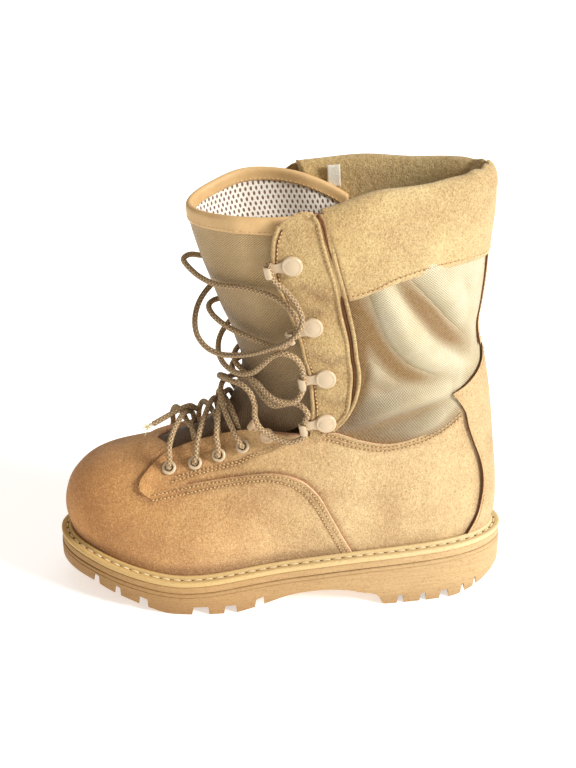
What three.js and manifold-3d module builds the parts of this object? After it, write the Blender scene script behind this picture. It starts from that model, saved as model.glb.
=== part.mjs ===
// Combat boot, left foot, in millimetres: toe towards -X, outer side of the foot towards -Y, floor at Z = 0.
// The upper is wrapped round the foot by one function, wrap(angle, level, proud): angle runs round the boot
// in degrees, 0 at the heel, 180 at the toe, negative on the inner side; level climbs from the welt (0) to the
// collar (16); proud is the distance outside the upper's outer face.

import * as THREE from "three";
import { mergeVertices } from "three/addons/utils/BufferGeometryUtils.js";
import Module from "manifold-3d";

const wasm = await Module();
wasm.setup();

// ---------------------------------------------------------------- driving sizes
const WALL = 2.4;            // upper: leather with its lining
const GAP = 0.3;             // air between pieces that meet
const LAID = 0.6;            // air under an overlay, where two faceted curves follow each other
const LEATHER = 1.7;         // overlays of leather that stand proud
const LACE = 3.8;            // lace diameter
const WELT_REACH = 8.5;      // welt beyond the upper
const WELT_TUCK = 2.6;       // welt under the upper's wall
const WELT_THICK = 3.8;
const MIDSOLE_THICK = 5;
const INSOLE_INSET = 3.2;
const INSOLE_RISE = 2;
const LUG_DEPTH = 6;
const SIDE_LUG = 17;         // side lugs, from the sole's edge inwards
const UPPER_TOP = 15.2;      // level where the wall ends inside the collar
const SOLE_STEPS = 60;

// Rings of the upper. Each ring leans: it leaves the heel at (backX, backZ) and meets the front of the boot at
// (frontX, frontZ). heel, rear, side, fore and toe are its half widths, from the heel to the front.
const RINGS = [
  { backX: 146.5, backZ: 43.8, frontX: -146.5, frontZ: 38.5, heel: 50, rear: 41, side: 39, fore: 54, toe: 62 },
  { backX: 148.5, backZ: 58, frontX: -150.5, frontZ: 53, heel: 53, rear: 44, side: 42, fore: 56.5, toe: 62 },
  { backX: 148, backZ: 73, frontX: -149.5, frontZ: 68, heel: 52, rear: 44, side: 42.5, fore: 55.5, toe: 61 },
  { backX: 147, backZ: 88, frontX: -143.5, frontZ: 83, heel: 51, rear: 44, side: 41, fore: 47, toe: 58 },
  { backX: 145.5, backZ: 101, frontX: -130, frontZ: 96.5, heel: 48, rear: 42, side: 40, fore: 37.5, toe: 53 },
  { backX: 144, backZ: 113, frontX: -106, frontZ: 106, heel: 46.5, rear: 41, side: 37.5, fore: 31, toe: 30 },
  { backX: 142.5, backZ: 126, frontX: -80, frontZ: 111.5, heel: 45, rear: 40, side: 37, fore: 33.5, toe: 22 },
  { backX: 141, backZ: 139, frontX: -58, frontZ: 120, heel: 44, rear: 39.5, side: 37.5, fore: 35, toe: 22 },
  { backX: 139.5, backZ: 152, frontX: -40, frontZ: 133, heel: 43, rear: 40, side: 39.5, fore: 38.5, toe: 27 },
  { backX: 137.5, backZ: 166, frontX: -29, frontZ: 151, heel: 41, rear: 41.5, side: 41, fore: 41.5, toe: 34 },
  { backX: 134.5, backZ: 180, frontX: -26, frontZ: 171, heel: 40, rear: 42, side: 42.5, fore: 43.5, toe: 39 },
  { backX: 132, backZ: 196, frontX: -32, frontZ: 191, heel: 39.5, rear: 43, side: 44, fore: 45, toe: 42.5 },
  { backX: 134, backZ: 214, frontX: -39.5, frontZ: 212, heel: 39, rear: 44, side: 45, fore: 46, toe: 44.5 },
  { backX: 136, backZ: 234, frontX: -46.5, frontZ: 232, heel: 38, rear: 44.5, side: 46, fore: 47.5, toe: 46 },
  { backX: 137, backZ: 256, frontX: -53, frontZ: 250, heel: 39, rear: 44, side: 46.5, fore: 48.5, toe: 47 },
  { backX: 138.5, backZ: 279, frontX: -58, frontZ: 267, heel: 37, rear: 42.5, side: 47, fore: 49.5, toe: 48 },
  { backX: 139, backZ: 299.5, frontX: -60, frontZ: 283, heel: 35, rear: 41, side: 47, fore: 50, toe: 48 },
  { backX: 139.5, backZ: 318, frontX: -62, frontZ: 299, heel: 34, rear: 40.5, side: 47, fore: 50, toe: 48 },
];

// Top of the welt along the boot, and the sideways swing of the foot's own curve.
const WELT_LINE = [
  { x: -160, z: 40 }, { x: -150, z: 38.5 }, { x: -135, z: 36 }, { x: -118, z: 32 }, { x: -97, z: 28 },
  { x: -74, z: 25.5 }, { x: -50, z: 26.5 }, { x: -20, z: 30.5 }, { x: 10, z: 34.5 }, { x: 45, z: 38 },
  { x: 80, z: 40 }, { x: 115, z: 41.5 }, { x: 160, z: 43.5 },
];
const SWING = [
  { x: -155, y: 6 }, { x: -110, y: 3.5 }, { x: -70, y: 0.3 }, { x: -30, y: -2 },
  { x: 20, y: -3.5 }, { x: 70, y: -1 }, { x: 110, y: 0 }, { x: 155, y: 0 },
];

// ---------------------------------------------------------------- curves through tables
function slope(rows, key, along, i) {
  const before = rows[Math.max(i - 1, 0)];
  const after = rows[Math.min(i + 1, rows.length - 1)];
  return (after[key] - before[key]) / (after[along] - before[along]);
}

function hermite(a, b, slopeA, slopeB, span, u) {
  const ease = u * u * (3 - 2 * u);
  return a * (1 - ease) + b * ease + span * (u * (1 - u) ** 2 * slopeA + u * u * (u - 1) * slopeB);
}

// Smooth value of a table's column key at a place on its column along.
function curveAt(rows, key, along, value) {
  const at = Math.min(Math.max(value, rows[0][along]), rows[rows.length - 1][along]);
  let i = 0;
  while (i < rows.length - 2 && at >= rows[i + 1][along]) i += 1;
  const span = rows[i + 1][along] - rows[i][along];
  const u = (at - rows[i][along]) / span;
  return hermite(rows[i][key], rows[i + 1][key], slope(rows, key, along, i), slope(rows, key, along, i + 1), span, u);
}

const LEVELS = RINGS.map((ring, level) => ({ ...ring, level }));
const WIDTHS = ["heel", "rear", "side", "fore", "toe"];
const weltTop = (x) => curveAt(WELT_LINE, "z", "x", x);
const swing = (x) => curveAt(SWING, "y", "x", x);
const radians = THREE.MathUtils.degToRad;
const ease = (low, high, value) => THREE.MathUtils.smoothstep(value, low, high);
const mix = THREE.MathUtils.lerp;

// ---------------------------------------------------------------- the wrap
const SWING_OUT = { from: 4, to: 9 };   // levels over which the swing dies out
const BASE_FADE = 6;                    // level where the rings stop following the welt's line

function wrapSkin(angle, level) {
  const turn = radians(angle);
  const along = (1 - Math.cos(turn)) / 2;
  const ring = (key) => curveAt(LEVELS, key, "level", level);
  const widths = WIDTHS.map((key, i) => ({ place: i / 4, width: ring(key) }));
  const x = mix(ring("backX"), ring("frontX"), along);
  const leaning = mix(ring("backZ"), ring("frontZ"), along);
  const base = RINGS[0];
  const chord = mix(base.backZ, base.frontZ, (base.backX - x) / (base.backX - base.frontX));
  const z = leaning + (1 - ease(0, BASE_FADE, level)) * (weltTop(x) + GAP - chord);
  const centre = swing(x) * (1 - ease(SWING_OUT.from, SWING_OUT.to, level));
  return new THREE.Vector3(x, centre - Math.sin(turn) * curveAt(widths, "width", "place", along), z);
}

function wrapNormal(angle, level) {
  const step = 0.05;
  const low = Math.max(level - step, 0);
  const up = wrapSkin(angle, level + step).sub(wrapSkin(angle, low));
  const round = wrapSkin(angle + 1, level).sub(wrapSkin(angle - 1, level));
  return up.cross(round).normalize();
}

function wrap(angle, level, proud) {
  return wrapSkin(angle, level).addScaledVector(wrapNormal(angle, level), proud);
}

// ---------------------------------------------------------------- closed meshes
function closedMesh(points, faces) {
  const geometry = new THREE.BufferGeometry();
  geometry.setAttribute("position", new THREE.Float32BufferAttribute(points.flatMap((p) => p.toArray()), 3));
  geometry.setIndex(faces.flat());
  return faceOut(geometry);
}

function faceOut(geometry) {
  const at = geometry.getAttribute("position");
  const index = geometry.getIndex().array;
  const corner = (i) => new THREE.Vector3().fromBufferAttribute(at, index[i]);
  let volume = 0;
  for (let i = 0; i < index.length; i += 3) volume += corner(i).dot(corner(i + 1).cross(corner(i + 2)));
  if (volume < 0) {
    for (let i = 0; i < index.length; i += 3) [index[i], index[i + 1]] = [index[i + 1], index[i]];
  }
  return geometry;
}

function weld(source) {
  const geometry = source.clone();
  geometry.deleteAttribute("normal");
  geometry.deleteAttribute("uv");
  return faceOut(mergeVertices(geometry, 1e-4));
}

// A sheet with thickness: point(u, v, side) gives its outer (side 0) and inner (side 1) face.
// ring joins the sheet's two ends in u.
function slab(stepsU, stepsV, point, ring = false) {
  const columns = ring ? stepsU : stepsU + 1;
  const points = [];
  for (const side of [0, 1]) {
    for (let j = 0; j <= stepsV; j += 1) {
      for (let i = 0; i < columns; i += 1) points.push(point(i / stepsU, j / stepsV, side));
    }
  }
  const id = (i, j, side) => side * columns * (stepsV + 1) + j * columns + (i % columns);
  const faces = [];
  const quad = (a, b, c, d) => faces.push([a, b, c], [a, c, d]);
  for (let j = 0; j < stepsV; j += 1) {
    for (let i = 0; i < stepsU; i += 1) {
      quad(id(i, j, 0), id(i + 1, j, 0), id(i + 1, j + 1, 0), id(i, j + 1, 0));
      quad(id(i, j, 1), id(i, j + 1, 1), id(i + 1, j + 1, 1), id(i + 1, j, 1));
    }
  }
  for (let i = 0; i < stepsU; i += 1) {
    quad(id(i, 0, 0), id(i, 0, 1), id(i + 1, 0, 1), id(i + 1, 0, 0));
    quad(id(i, stepsV, 0), id(i + 1, stepsV, 0), id(i + 1, stepsV, 1), id(i, stepsV, 1));
  }
  for (let j = 0; j < stepsV && !ring; j += 1) {
    quad(id(0, j, 0), id(0, j + 1, 0), id(0, j + 1, 1), id(0, j, 1));
    quad(id(stepsU, j, 0), id(stepsU, j, 1), id(stepsU, j + 1, 1), id(stepsU, j + 1, 0));
  }
  return closedMesh(points, faces);
}

// ---------------------------------------------------------------- booleans
function solid(geometry) {
  const vertProperties = new Float32Array(geometry.getAttribute("position").array);
  const triVerts = new Uint32Array(geometry.getIndex().array);
  return new wasm.Manifold(new wasm.Mesh({ numProp: 3, vertProperties, triVerts }));
}

function fromSolid(body) {
  const mesh = body.getMesh();
  const geometry = new THREE.BufferGeometry();
  geometry.setAttribute("position", new THREE.BufferAttribute(mesh.vertProperties, 3));
  geometry.setIndex(new THREE.BufferAttribute(mesh.triVerts, 1));
  return geometry;
}

// A flat outline, given as [across, up] pairs, pushed along its own normal through the whole width of the boot.
function prism(outline, depth) {
  const shape = new THREE.Shape(outline.map(([across, up]) => new THREE.Vector2(across, up)));
  return new THREE.ExtrudeGeometry(shape, { depth, bevelEnabled: false, steps: 1 });
}

const HALF_REACH = 90;       // cutters reach past the boot on both sides

function sideCutter(outline) {
  const geometry = prism(outline, 2 * HALF_REACH);
  geometry.rotateX(Math.PI / 2);
  geometry.translate(0, HALF_REACH, 0);
  return solid(weld(geometry));
}

function planCutter(outline, low, high) {
  const geometry = prism(outline, high - low);
  geometry.translate(0, 0, low);
  return solid(weld(geometry));
}

// ---------------------------------------------------------------- sole
function footprint(angle, reach) {
  const edge = wrapSkin(angle, 0);
  const round = wrapSkin(angle + 1, 0).sub(wrapSkin(angle - 1, 0));
  const out = new THREE.Vector3(-round.y, round.x, 0).normalize();
  return edge.addScaledVector(out, reach);
}

// A plate of the foot's outline, grown or shrunk by reach, between two heights given along the boot.
function plate(reach, topAt, bottomAt, steps = SOLE_STEPS) {
  const points = [];
  for (const height of [topAt, bottomAt]) {
    for (let i = 0; i < steps; i += 1) {
      const p = footprint((360 * i) / steps, reach);
      points.push(p.setZ(height(p.x)));
    }
  }
  const faces = [];
  for (let i = 0; i < steps; i += 1) {
    const next = (i + 1) % steps;
    faces.push([i, next, steps + next], [i, steps + next, steps + i]);
  }
  for (let i = 0; i < steps / 2; i += 1) {
    const left = [i, i + 1];
    const right = [(steps - i) % steps, steps - i - 1];
    const strip = [[left[0], right[1], left[1]], [left[0], right[0], right[1]]];
    for (const [a, b, c] of strip) {
      if (new Set([a, b, c]).size < 3) continue;
      faces.push([a, b, c], [steps + a, steps + c, steps + b]);
    }
  }
  return closedMesh(points, faces);
}

// Underside of the sole, from the toe's spring over the ball, the arch and the heel's front to its rear bevel.
const UNDERSIDE = [
  { x: -170, z: 27 }, { x: -155, z: 20 }, { x: -131, z: 15.5 }, { x: -118, z: 11 }, { x: -104, z: 7 },
  { x: -91, z: 3.2 }, { x: -76, z: 0 }, { x: -34, z: 0 }, { x: -20, z: 3 }, { x: -8, z: 7 }, { x: 3, z: 11 },
  { x: 14, z: 13.4 }, { x: 28, z: 14.6 }, { x: 43, z: 13.8 }, { x: 56, z: 10.6 }, { x: 67, z: 7.4 },
  { x: 71, z: 0 }, { x: 119, z: 0 }, { x: 128, z: 2 }, { x: 137, z: 5 }, { x: 148, z: 11 }, { x: 170, z: 25 },
];
const TREAD_SLOTS = [
  { from: -131, to: -126 }, { from: -116, to: -111 }, { from: -99, to: -92 }, { from: -62, to: -50 },
  { from: -40, to: -31 }, { from: -19, to: -12 }, { from: 80, to: 85 }, { from: 96, to: 101 },
  { from: 110, to: 117 }, { from: 125, to: 128.5 }, { from: 134, to: 137 },
];
const TREAD_FIELDS = [{ from: -134, to: -14 }, { from: 84, to: 124 }];
const CENTRE_BARS = [
  { x: -121, half: 9 }, { x: -104, half: 15 }, { x: -84, half: 18 }, { x: -69, half: 19 }, { x: -55, half: 19 },
  { x: -36, half: 17 }, { x: 94, half: 8 }, { x: 110, half: 8 },
];
const CENTRE_BAR = 8;

function soleBottom(x) {
  let i = 0;
  while (i < UNDERSIDE.length - 2 && x >= UNDERSIDE[i + 1].x) i += 1;
  const a = UNDERSIDE[i];
  const b = UNDERSIDE[i + 1];
  return mix(a.z, b.z, (x - a.x) / (b.x - a.x));
}

const FLOOR_CLEAR = -5;

function slotOutline(from, to, depth) {
  const low = [[from, FLOOR_CLEAR], [to, FLOOR_CLEAR]];
  return [...low, [to - 0.6, soleBottom(to) + depth], [from + 0.6, soleBottom(from) + depth]];
}

function outsole() {
  const top = (x) => weltTop(x) - WELT_THICK - MIDSOLE_THICK - 2 * GAP;
  const blank = solid(plate(WELT_REACH, top, () => -1));
  const under = UNDERSIDE.map(({ x, z }) => [x, z]);
  let sole = blank.subtract(sideCutter([[-170, -9], ...under, [170, -9]]));
  const inner = solid(plate(WELT_REACH - SIDE_LUG, () => 90, () => FLOOR_CLEAR * 2, 32));
  for (const { from, to } of TREAD_SLOTS) {
    const slot = sideCutter(slotOutline(from, to, LUG_DEPTH));
    sole = sole.subtract(slot.subtract(inner));
  }
  for (const { from, to } of TREAD_FIELDS) {
    const steps = 6;
    const roof = [];
    for (let i = 0; i <= steps; i += 1) {
      const x = mix(to, from, i / steps);
      roof.push([x, soleBottom(x) + LUG_DEPTH - 1]);
    }
    let field = sideCutter([[from, FLOOR_CLEAR], [to, FLOOR_CLEAR], ...roof]).intersect(inner);
    for (const { x, half } of CENTRE_BARS) {
      const reach = CENTRE_BAR / 2;
      const outline = [[x - reach, -half], [x + reach, -half], [x + reach, half], [x - reach, half]];
      field = field.subtract(planCutter(outline, FLOOR_CLEAR * 2, 90));
    }
    sole = sole.subtract(field);
  }
  return fromSolid(sole);
}

function midsole() {
  const top = (x) => weltTop(x) - WELT_THICK - GAP;
  return plate(WELT_REACH - 0.6, top, (x) => top(x) - MIDSOLE_THICK);
}

function welt() {
  return slab(SOLE_STEPS, 1, (u, v, side) => {
    const p = footprint(360 * u, mix(-WELT_TUCK, WELT_REACH, v));
    return p.setZ(weltTop(p.x) - side * WELT_THICK);
  }, true);
}

function insole() {
  return plate(-INSOLE_INSET, (x) => weltTop(x) + INSOLE_RISE, (x) => weltTop(x) - WELT_THICK, 48);
}

// ---------------------------------------------------------------- upper
// Front and rear edge of the leather facing that carries the hooks, as angles at each level.
const FACING = [
  { level: 7.05, front: 103, rear: 99.5 }, { level: 7.5, front: 106, rear: 96.3 },
  { level: 8.35, front: 110.5, rear: 95.5 }, { level: 9.4, front: 114.5, rear: 96 },
  { level: 10.6, front: 115.3, rear: 94.5 }, { level: 11.35, front: 114.7, rear: 93.5 },
  { level: 12.45, front: 116.5, rear: 94.5 }, { level: 13.65, front: 119, rear: 95.3 },
  { level: 14.9, front: 116.8, rear: 97.5 }, { level: 15.6, front: 114, rear: 98.7 },
  { level: 16.05, front: 107.5, rear: 101 },
];
// Half width of the throat between the eyelet rows, along the boot.
const THROAT = [
  { x: -90, half: 20 }, { x: -80, half: 18.5 }, { x: -69, half: 16.5 }, { x: -59, half: 15.5 },
  { x: -35, half: 18.5 }, { x: -18, half: 24 }, { x: 0, half: 31 }, { x: 21.5, half: 37.5 },
];
const THROAT_LOW = 88;
const THROAT_HIGH = 330;
const EYELETS = [
  { angle: 131, level: 4.4 }, { angle: 124.5, level: 4.7 }, { angle: 122, level: 5.3 }, { angle: 122.5, level: 6.2 },
];
const EYELET = { flange: 4.9, hole: 2.6, barrel: 3, cut: 3.6, sides: 9 };
const RING_STEPS = 38;

// Angles bunch slightly at the heel and the toe, where the plan curves most.
function ringAngle(u) {
  const turn = 360 * u;
  return turn - 7 * Math.sin(radians(2 * turn));
}

function upperTop(angle) {
  const round = Math.min(angle, 360 - angle);
  return UPPER_TOP + 0.6 * ease(99, 103, round);
}

// Puts a piece made round the Z axis on the upper: its foot at the place, its axis along the face's normal.
function placeOn(geometry, angle, level, proud) {
  const turn = new THREE.Quaternion().setFromUnitVectors(new THREE.Vector3(0, 0, 1), wrapNormal(angle, level));
  const place = wrap(angle, level, proud);
  return geometry.clone().applyQuaternion(turn).translate(place.x, place.y, place.z);
}

function lathed(profile, sides) {
  const points = profile.map(([radius, height]) => new THREE.Vector2(radius, height));
  return new THREE.LatheGeometry(points, sides).rotateX(Math.PI / 2);
}

function upper() {
  const rows = 15;
  const shell = slab(RING_STEPS, rows, (u, v, side) => {
    const angle = ringAngle(u);
    const level = v * upperTop(angle);
    const p = wrap(angle, level, -side * WALL);
    if (v === 0) p.setZ(wrapSkin(angle, 0).z);
    return p;
  }, true);
  const edge = FACING.map(({ level, front }) => {
    const p = wrapSkin(front - 0.8, level);
    return [p.x, p.z];
  });
  const ahead = [[edge[edge.length - 1][0], THROAT_HIGH], [-120, THROAT_HIGH], [-120, 150], [-60, 136]];
  const shaftFront = sideCutter([...edge, ...ahead, [-30, 129], [-11, 127]]);
  const near = THROAT.map(({ x, half }) => [x, -half]);
  const far = THROAT.map(({ x, half }) => [x, half]).reverse();
  const vampThroat = planCutter([...near, ...far], THROAT_LOW, THROAT_HIGH);
  let body = solid(shell).subtract(shaftFront).subtract(vampThroat);
  const punch = lathed([[0, -6], [EYELET.cut, -6], [EYELET.cut, 6], [0, 6]], EYELET.sides);
  for (const { angle, level } of EYELETS) {
    for (const hand of [1, -1]) body = body.subtract(solid(weld(placeOn(punch, hand * angle, level, 0))));
  }
  return fromSolid(body);
}

// ---------------------------------------------------------------- overlays
const BACKSTAY = [
  { level: 0, front: 29 }, { level: 1.5, front: 22.5 }, { level: 2.6, front: 20 }, { level: 3.95, front: 22 },
  { level: 6.1, front: 31 }, { level: 7.2, front: 35 }, { level: 8.35, front: 44 },
];
const BACKSTAY_TOP = [
  { angle: 0, level: 9.9 }, { angle: 14, level: 9.35 }, { angle: 33, level: 8.7 }, { angle: 50, level: 8.3 },
];
const BACKSTRIP = { from: 10.2, to: 12.95, half: 9 };

function backstay() {
  const tip = BACKSTAY[BACKSTAY.length - 1].level;
  return slab(10, 9, (u, v, side) => {
    const angle = (2 * u - 1) * curveAt(BACKSTAY, "front", "level", v * tip);
    const top = curveAt(BACKSTAY_TOP, "level", "angle", Math.abs(angle));
    return wrap(angle, mix(0.12, top, v), LAID + (1 - side) * LEATHER);
  });
}

function backstrip() {
  return slab(4, 4, (u, v, side) => {
    const angle = (2 * u - 1) * BACKSTRIP.half;
    return wrap(angle, mix(BACKSTRIP.from, BACKSTRIP.to, v), LAID + (1 - side) * 1.2);
  });
}

function facing(hand) {
  const low = FACING[0].level;
  const high = FACING[FACING.length - 1].level;
  return slab(4, 13, (u, v, side) => {
    const level = mix(low, high, v);
    const front = curveAt(FACING, "front", "level", level);
    const rear = curveAt(FACING, "rear", "level", level);
    return wrap(hand * mix(rear, front, u), level, LAID + (1 - side) * LEATHER);
  });
}

// Section of the padded collar, from its outer hem over the roll to its inner hem: its outer face, then the
// face that hugs the upper's wall. Depths inside the wall are in full; pad scales them.
const COLLAR = [
  { level: 13.05, proud: 1.4, coreLevel: 13.05, core: 0.6 },
  { level: 13.6, proud: 2.1, coreLevel: 13.6, core: 0.6 },
  { level: 14.5, proud: 2.6, coreLevel: 14.5, core: 0.6 },
  { level: 15.4, proud: 2.3, coreLevel: 15.3, core: 0.6 },
  { level: 16, proud: 1, coreLevel: 15.5, core: 0 },
  { level: 16.3, proud: -3, coreLevel: 15.6, core: -1.2 },
  { level: 16.25, proud: -7.5, coreLevel: 15.5, core: -2.6 },
  { level: 15.8, proud: -11.2, coreLevel: 15.3, core: -3.1 },
  { level: 15, proud: -12, coreLevel: 14.9, core: -3.1 },
  { level: 14.1, proud: -11, coreLevel: 14.1, core: -3.1 },
  { level: 13.4, proud: -7.5, coreLevel: 13.4, core: -3.1 },
  { level: 13, proud: -3.8, coreLevel: 13, core: -3.1 },
];
const COLLAR_FRONT = [{ level: 12.9, front: 91.5 }, { level: 14.55, front: 94 }, { level: 16.3, front: 98 }];
const COLLAR_HUG = 0.4;      // share of the padding left at the sharp rear corner
const COLLAR_LINING = -3.1;  // the padding's outer face, inside the wall

function collar() {
  const last = COLLAR.length - 1;
  return slab(20, last, (u, v, side) => {
    const row = COLLAR[Math.round(v * last)];
    const level = side ? row.coreLevel : row.level;
    const angle = (2 * u - 1) * curveAt(COLLAR_FRONT, "front", "level", level);
    const full = side ? row.core : row.proud;
    const hug = mix(COLLAR_HUG, 1, ease(6, 45, Math.abs(angle)));
    const proud = full < COLLAR_LINING ? COLLAR_LINING + (full - COLLAR_LINING) * hug : full;
    return wrap(angle, level, proud);
  });
}

// ---------------------------------------------------------------- tongue
const TONGUE_FROM = 4.6;
const TONGUE_THICK = 2;
const TONGUE_UNDER = -(WALL + 0.9);     // outer face of the tongue where it passes under the upper
const TONGUE_INSIDE = -14.2;            // and where its wings pass inside the padded collar
const TONGUE_TOP = [
  { away: 0, level: 16.15 }, { away: 30, level: 16.2 }, { away: 50, level: 16.25 }, { away: 65, level: 16.1 },
  { away: 75, level: 15.9 }, { away: 85, level: 15.5 }, { away: 96, level: 14.9 },
];
const TONGUE_WIDTH = [
  { level: 4.6, half: 45 }, { level: 6, half: 54 }, { level: 7, half: 62 }, { level: 8, half: 70 },
  { level: 10, half: 80 }, { level: 13, half: 88 }, { level: 16, half: 95 },
];
const TONGUE_PROUD = [
  { level: 4.6, half: 18 }, { level: 6, half: 20 }, { level: 7, half: 24 }, { level: 8, half: 36 },
  { level: 10, half: 44 }, { level: 16, half: 46 },
];

function tongueProud(away, level) {
  const front = curveAt(TONGUE_PROUD, "half", "level", level);
  const risen = ease(5.4, 6.3, level) * (1 - ease(front, front + 15, away));
  const collarEdge = 180 - curveAt(COLLAR_FRONT, "front", "level", level);
  const wing = ease(collarEdge - 13, collarEdge - 3, away) * ease(11.2, 12.8, level);
  return mix(mix(TONGUE_UNDER, -0.6 * (1 - ease(7, 9, level)), risen), TONGUE_INSIDE, wing);
}

function tongue() {
  return slab(16, 12, (u, v, side) => {
    const across = 2 * u - 1;
    const half = curveAt(TONGUE_WIDTH, "half", "level", mix(TONGUE_FROM, 16, v));
    const away = Math.abs(across) * half;
    const level = mix(TONGUE_FROM, curveAt(TONGUE_TOP, "level", "away", away), v);
    return wrap(180 + across * half, level, tongueProud(away, level) - side * TONGUE_THICK);
  });
}

// ---------------------------------------------------------------- eyelets and hooks
function eyelet() {
  const { flange, hole, barrel, sides } = EYELET;
  const profile = [
    [hole, -2.5], [barrel, -2.5], [barrel, 0.9], [flange, 1.1], [flange - 0.8, 2], [hole, 1.6], [hole, -2.5],
  ];
  return lathed(profile, sides);
}

const HOOKS = [
  { angle: 110.5, level: 14.15, drop: 13, cap: 7 }, { angle: 107.5, level: 11.95, drop: 25, cap: 7 },
  { angle: 107.5, level: 10, drop: 9, cap: 7 }, { angle: 102.5, level: 8, drop: 11, cap: 7 },
  { angle: 121, level: 7.1, drop: -35, cap: 5.2 },
];
const HOOK = { reach: 14, curl: 3.3, thick: 1.2, width: 5.6, open: 200, lift: 0.5 };

// A flat arm that runs forward under the cap and curls outwards, in its own frame: X forward, Z outwards.
function hookShape(capRadius) {
  const { reach, curl, thick, width, open, lift } = HOOK;
  const scale = capRadius / 7;
  const outer = [];
  const inner = [];
  const bends = 5;
  for (let i = 0; i <= bends; i += 1) {
    const turn = radians(-90 + (open * i) / bends);
    const centre = [reach * scale, lift + thick / 2 + curl];
    const at = (radius) => [centre[0] + radius * Math.cos(turn), centre[1] + radius * Math.sin(turn)];
    outer.push(at(curl + thick / 2));
    inner.push(at(curl - thick / 2));
  }
  const outline = [[-3, lift], ...outer, ...inner.reverse(), [-3, lift + thick]];
  const arm = prism(outline, width * scale).translate(0, 0, (-width * scale) / 2).rotateX(Math.PI / 2);
  const dome = [[0, 0.2], [capRadius - 0.4, 0.2], [capRadius, 1.4], [capRadius - 1.2, 2.7], [0, 3.6]];
  return fromSolid(solid(weld(arm)).add(solid(weld(lathed(dome, 10)))));
}

function hook(hand, { angle, level, drop, cap }, proud) {
  const out = wrapNormal(hand * angle, level);
  const forward = new THREE.Vector3(-Math.cos(radians(drop)), 0, -Math.sin(radians(drop)));
  forward.addScaledVector(out, -forward.dot(out)).normalize();
  const frame = new THREE.Matrix4().makeBasis(forward, new THREE.Vector3().crossVectors(out, forward), out);
  return hookShape(cap).applyMatrix4(frame.setPosition(wrap(hand * angle, level, proud)));
}

// ---------------------------------------------------------------- lace
const LACE_SIDES = 8;

function cord(points, steps) {
  const path = new THREE.CatmullRomCurve3(points.map((p) => new THREE.Vector3(...p)), false, "centripetal");
  const section = [];
  for (let i = 0; i < LACE_SIDES; i += 1) {
    const turn = radians((360 * i) / LACE_SIDES);
    section.push(new THREE.Vector2(Math.cos(turn), Math.sin(turn)).multiplyScalar(LACE / 2));
  }
  const shape = new THREE.Shape(section);
  return weld(new THREE.ExtrudeGeometry(shape, { steps, bevelEnabled: false, extrudePath: path }));
}

// Each crossing is two strands that leave the outer faces of a pair of eyelets and cross over the tongue.
// near gives the strand from the outer side's eyelet; its twin is the mirror image.
const CROSSINGS = [
  [[-75, -30, 107], [-75, -27, 116], [-72, -18, 124], [-67, -6, 127], [-63, 5, 125], [-60, 11, 121.5]],
  [[-57, -30, 110], [-56, -27, 119], [-53, -18, 128], [-49, -6, 133], [-46, 5, 134], [-44, 12, 132]],
];
const flip = ([x, y, z]) => [x, -y, z];

function crossing(near) {
  const strands = [near, near.map(flip)].map((points) => solid(cord(points, 6)));
  return fromSolid(strands[0].add(strands[1]));
}

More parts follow.
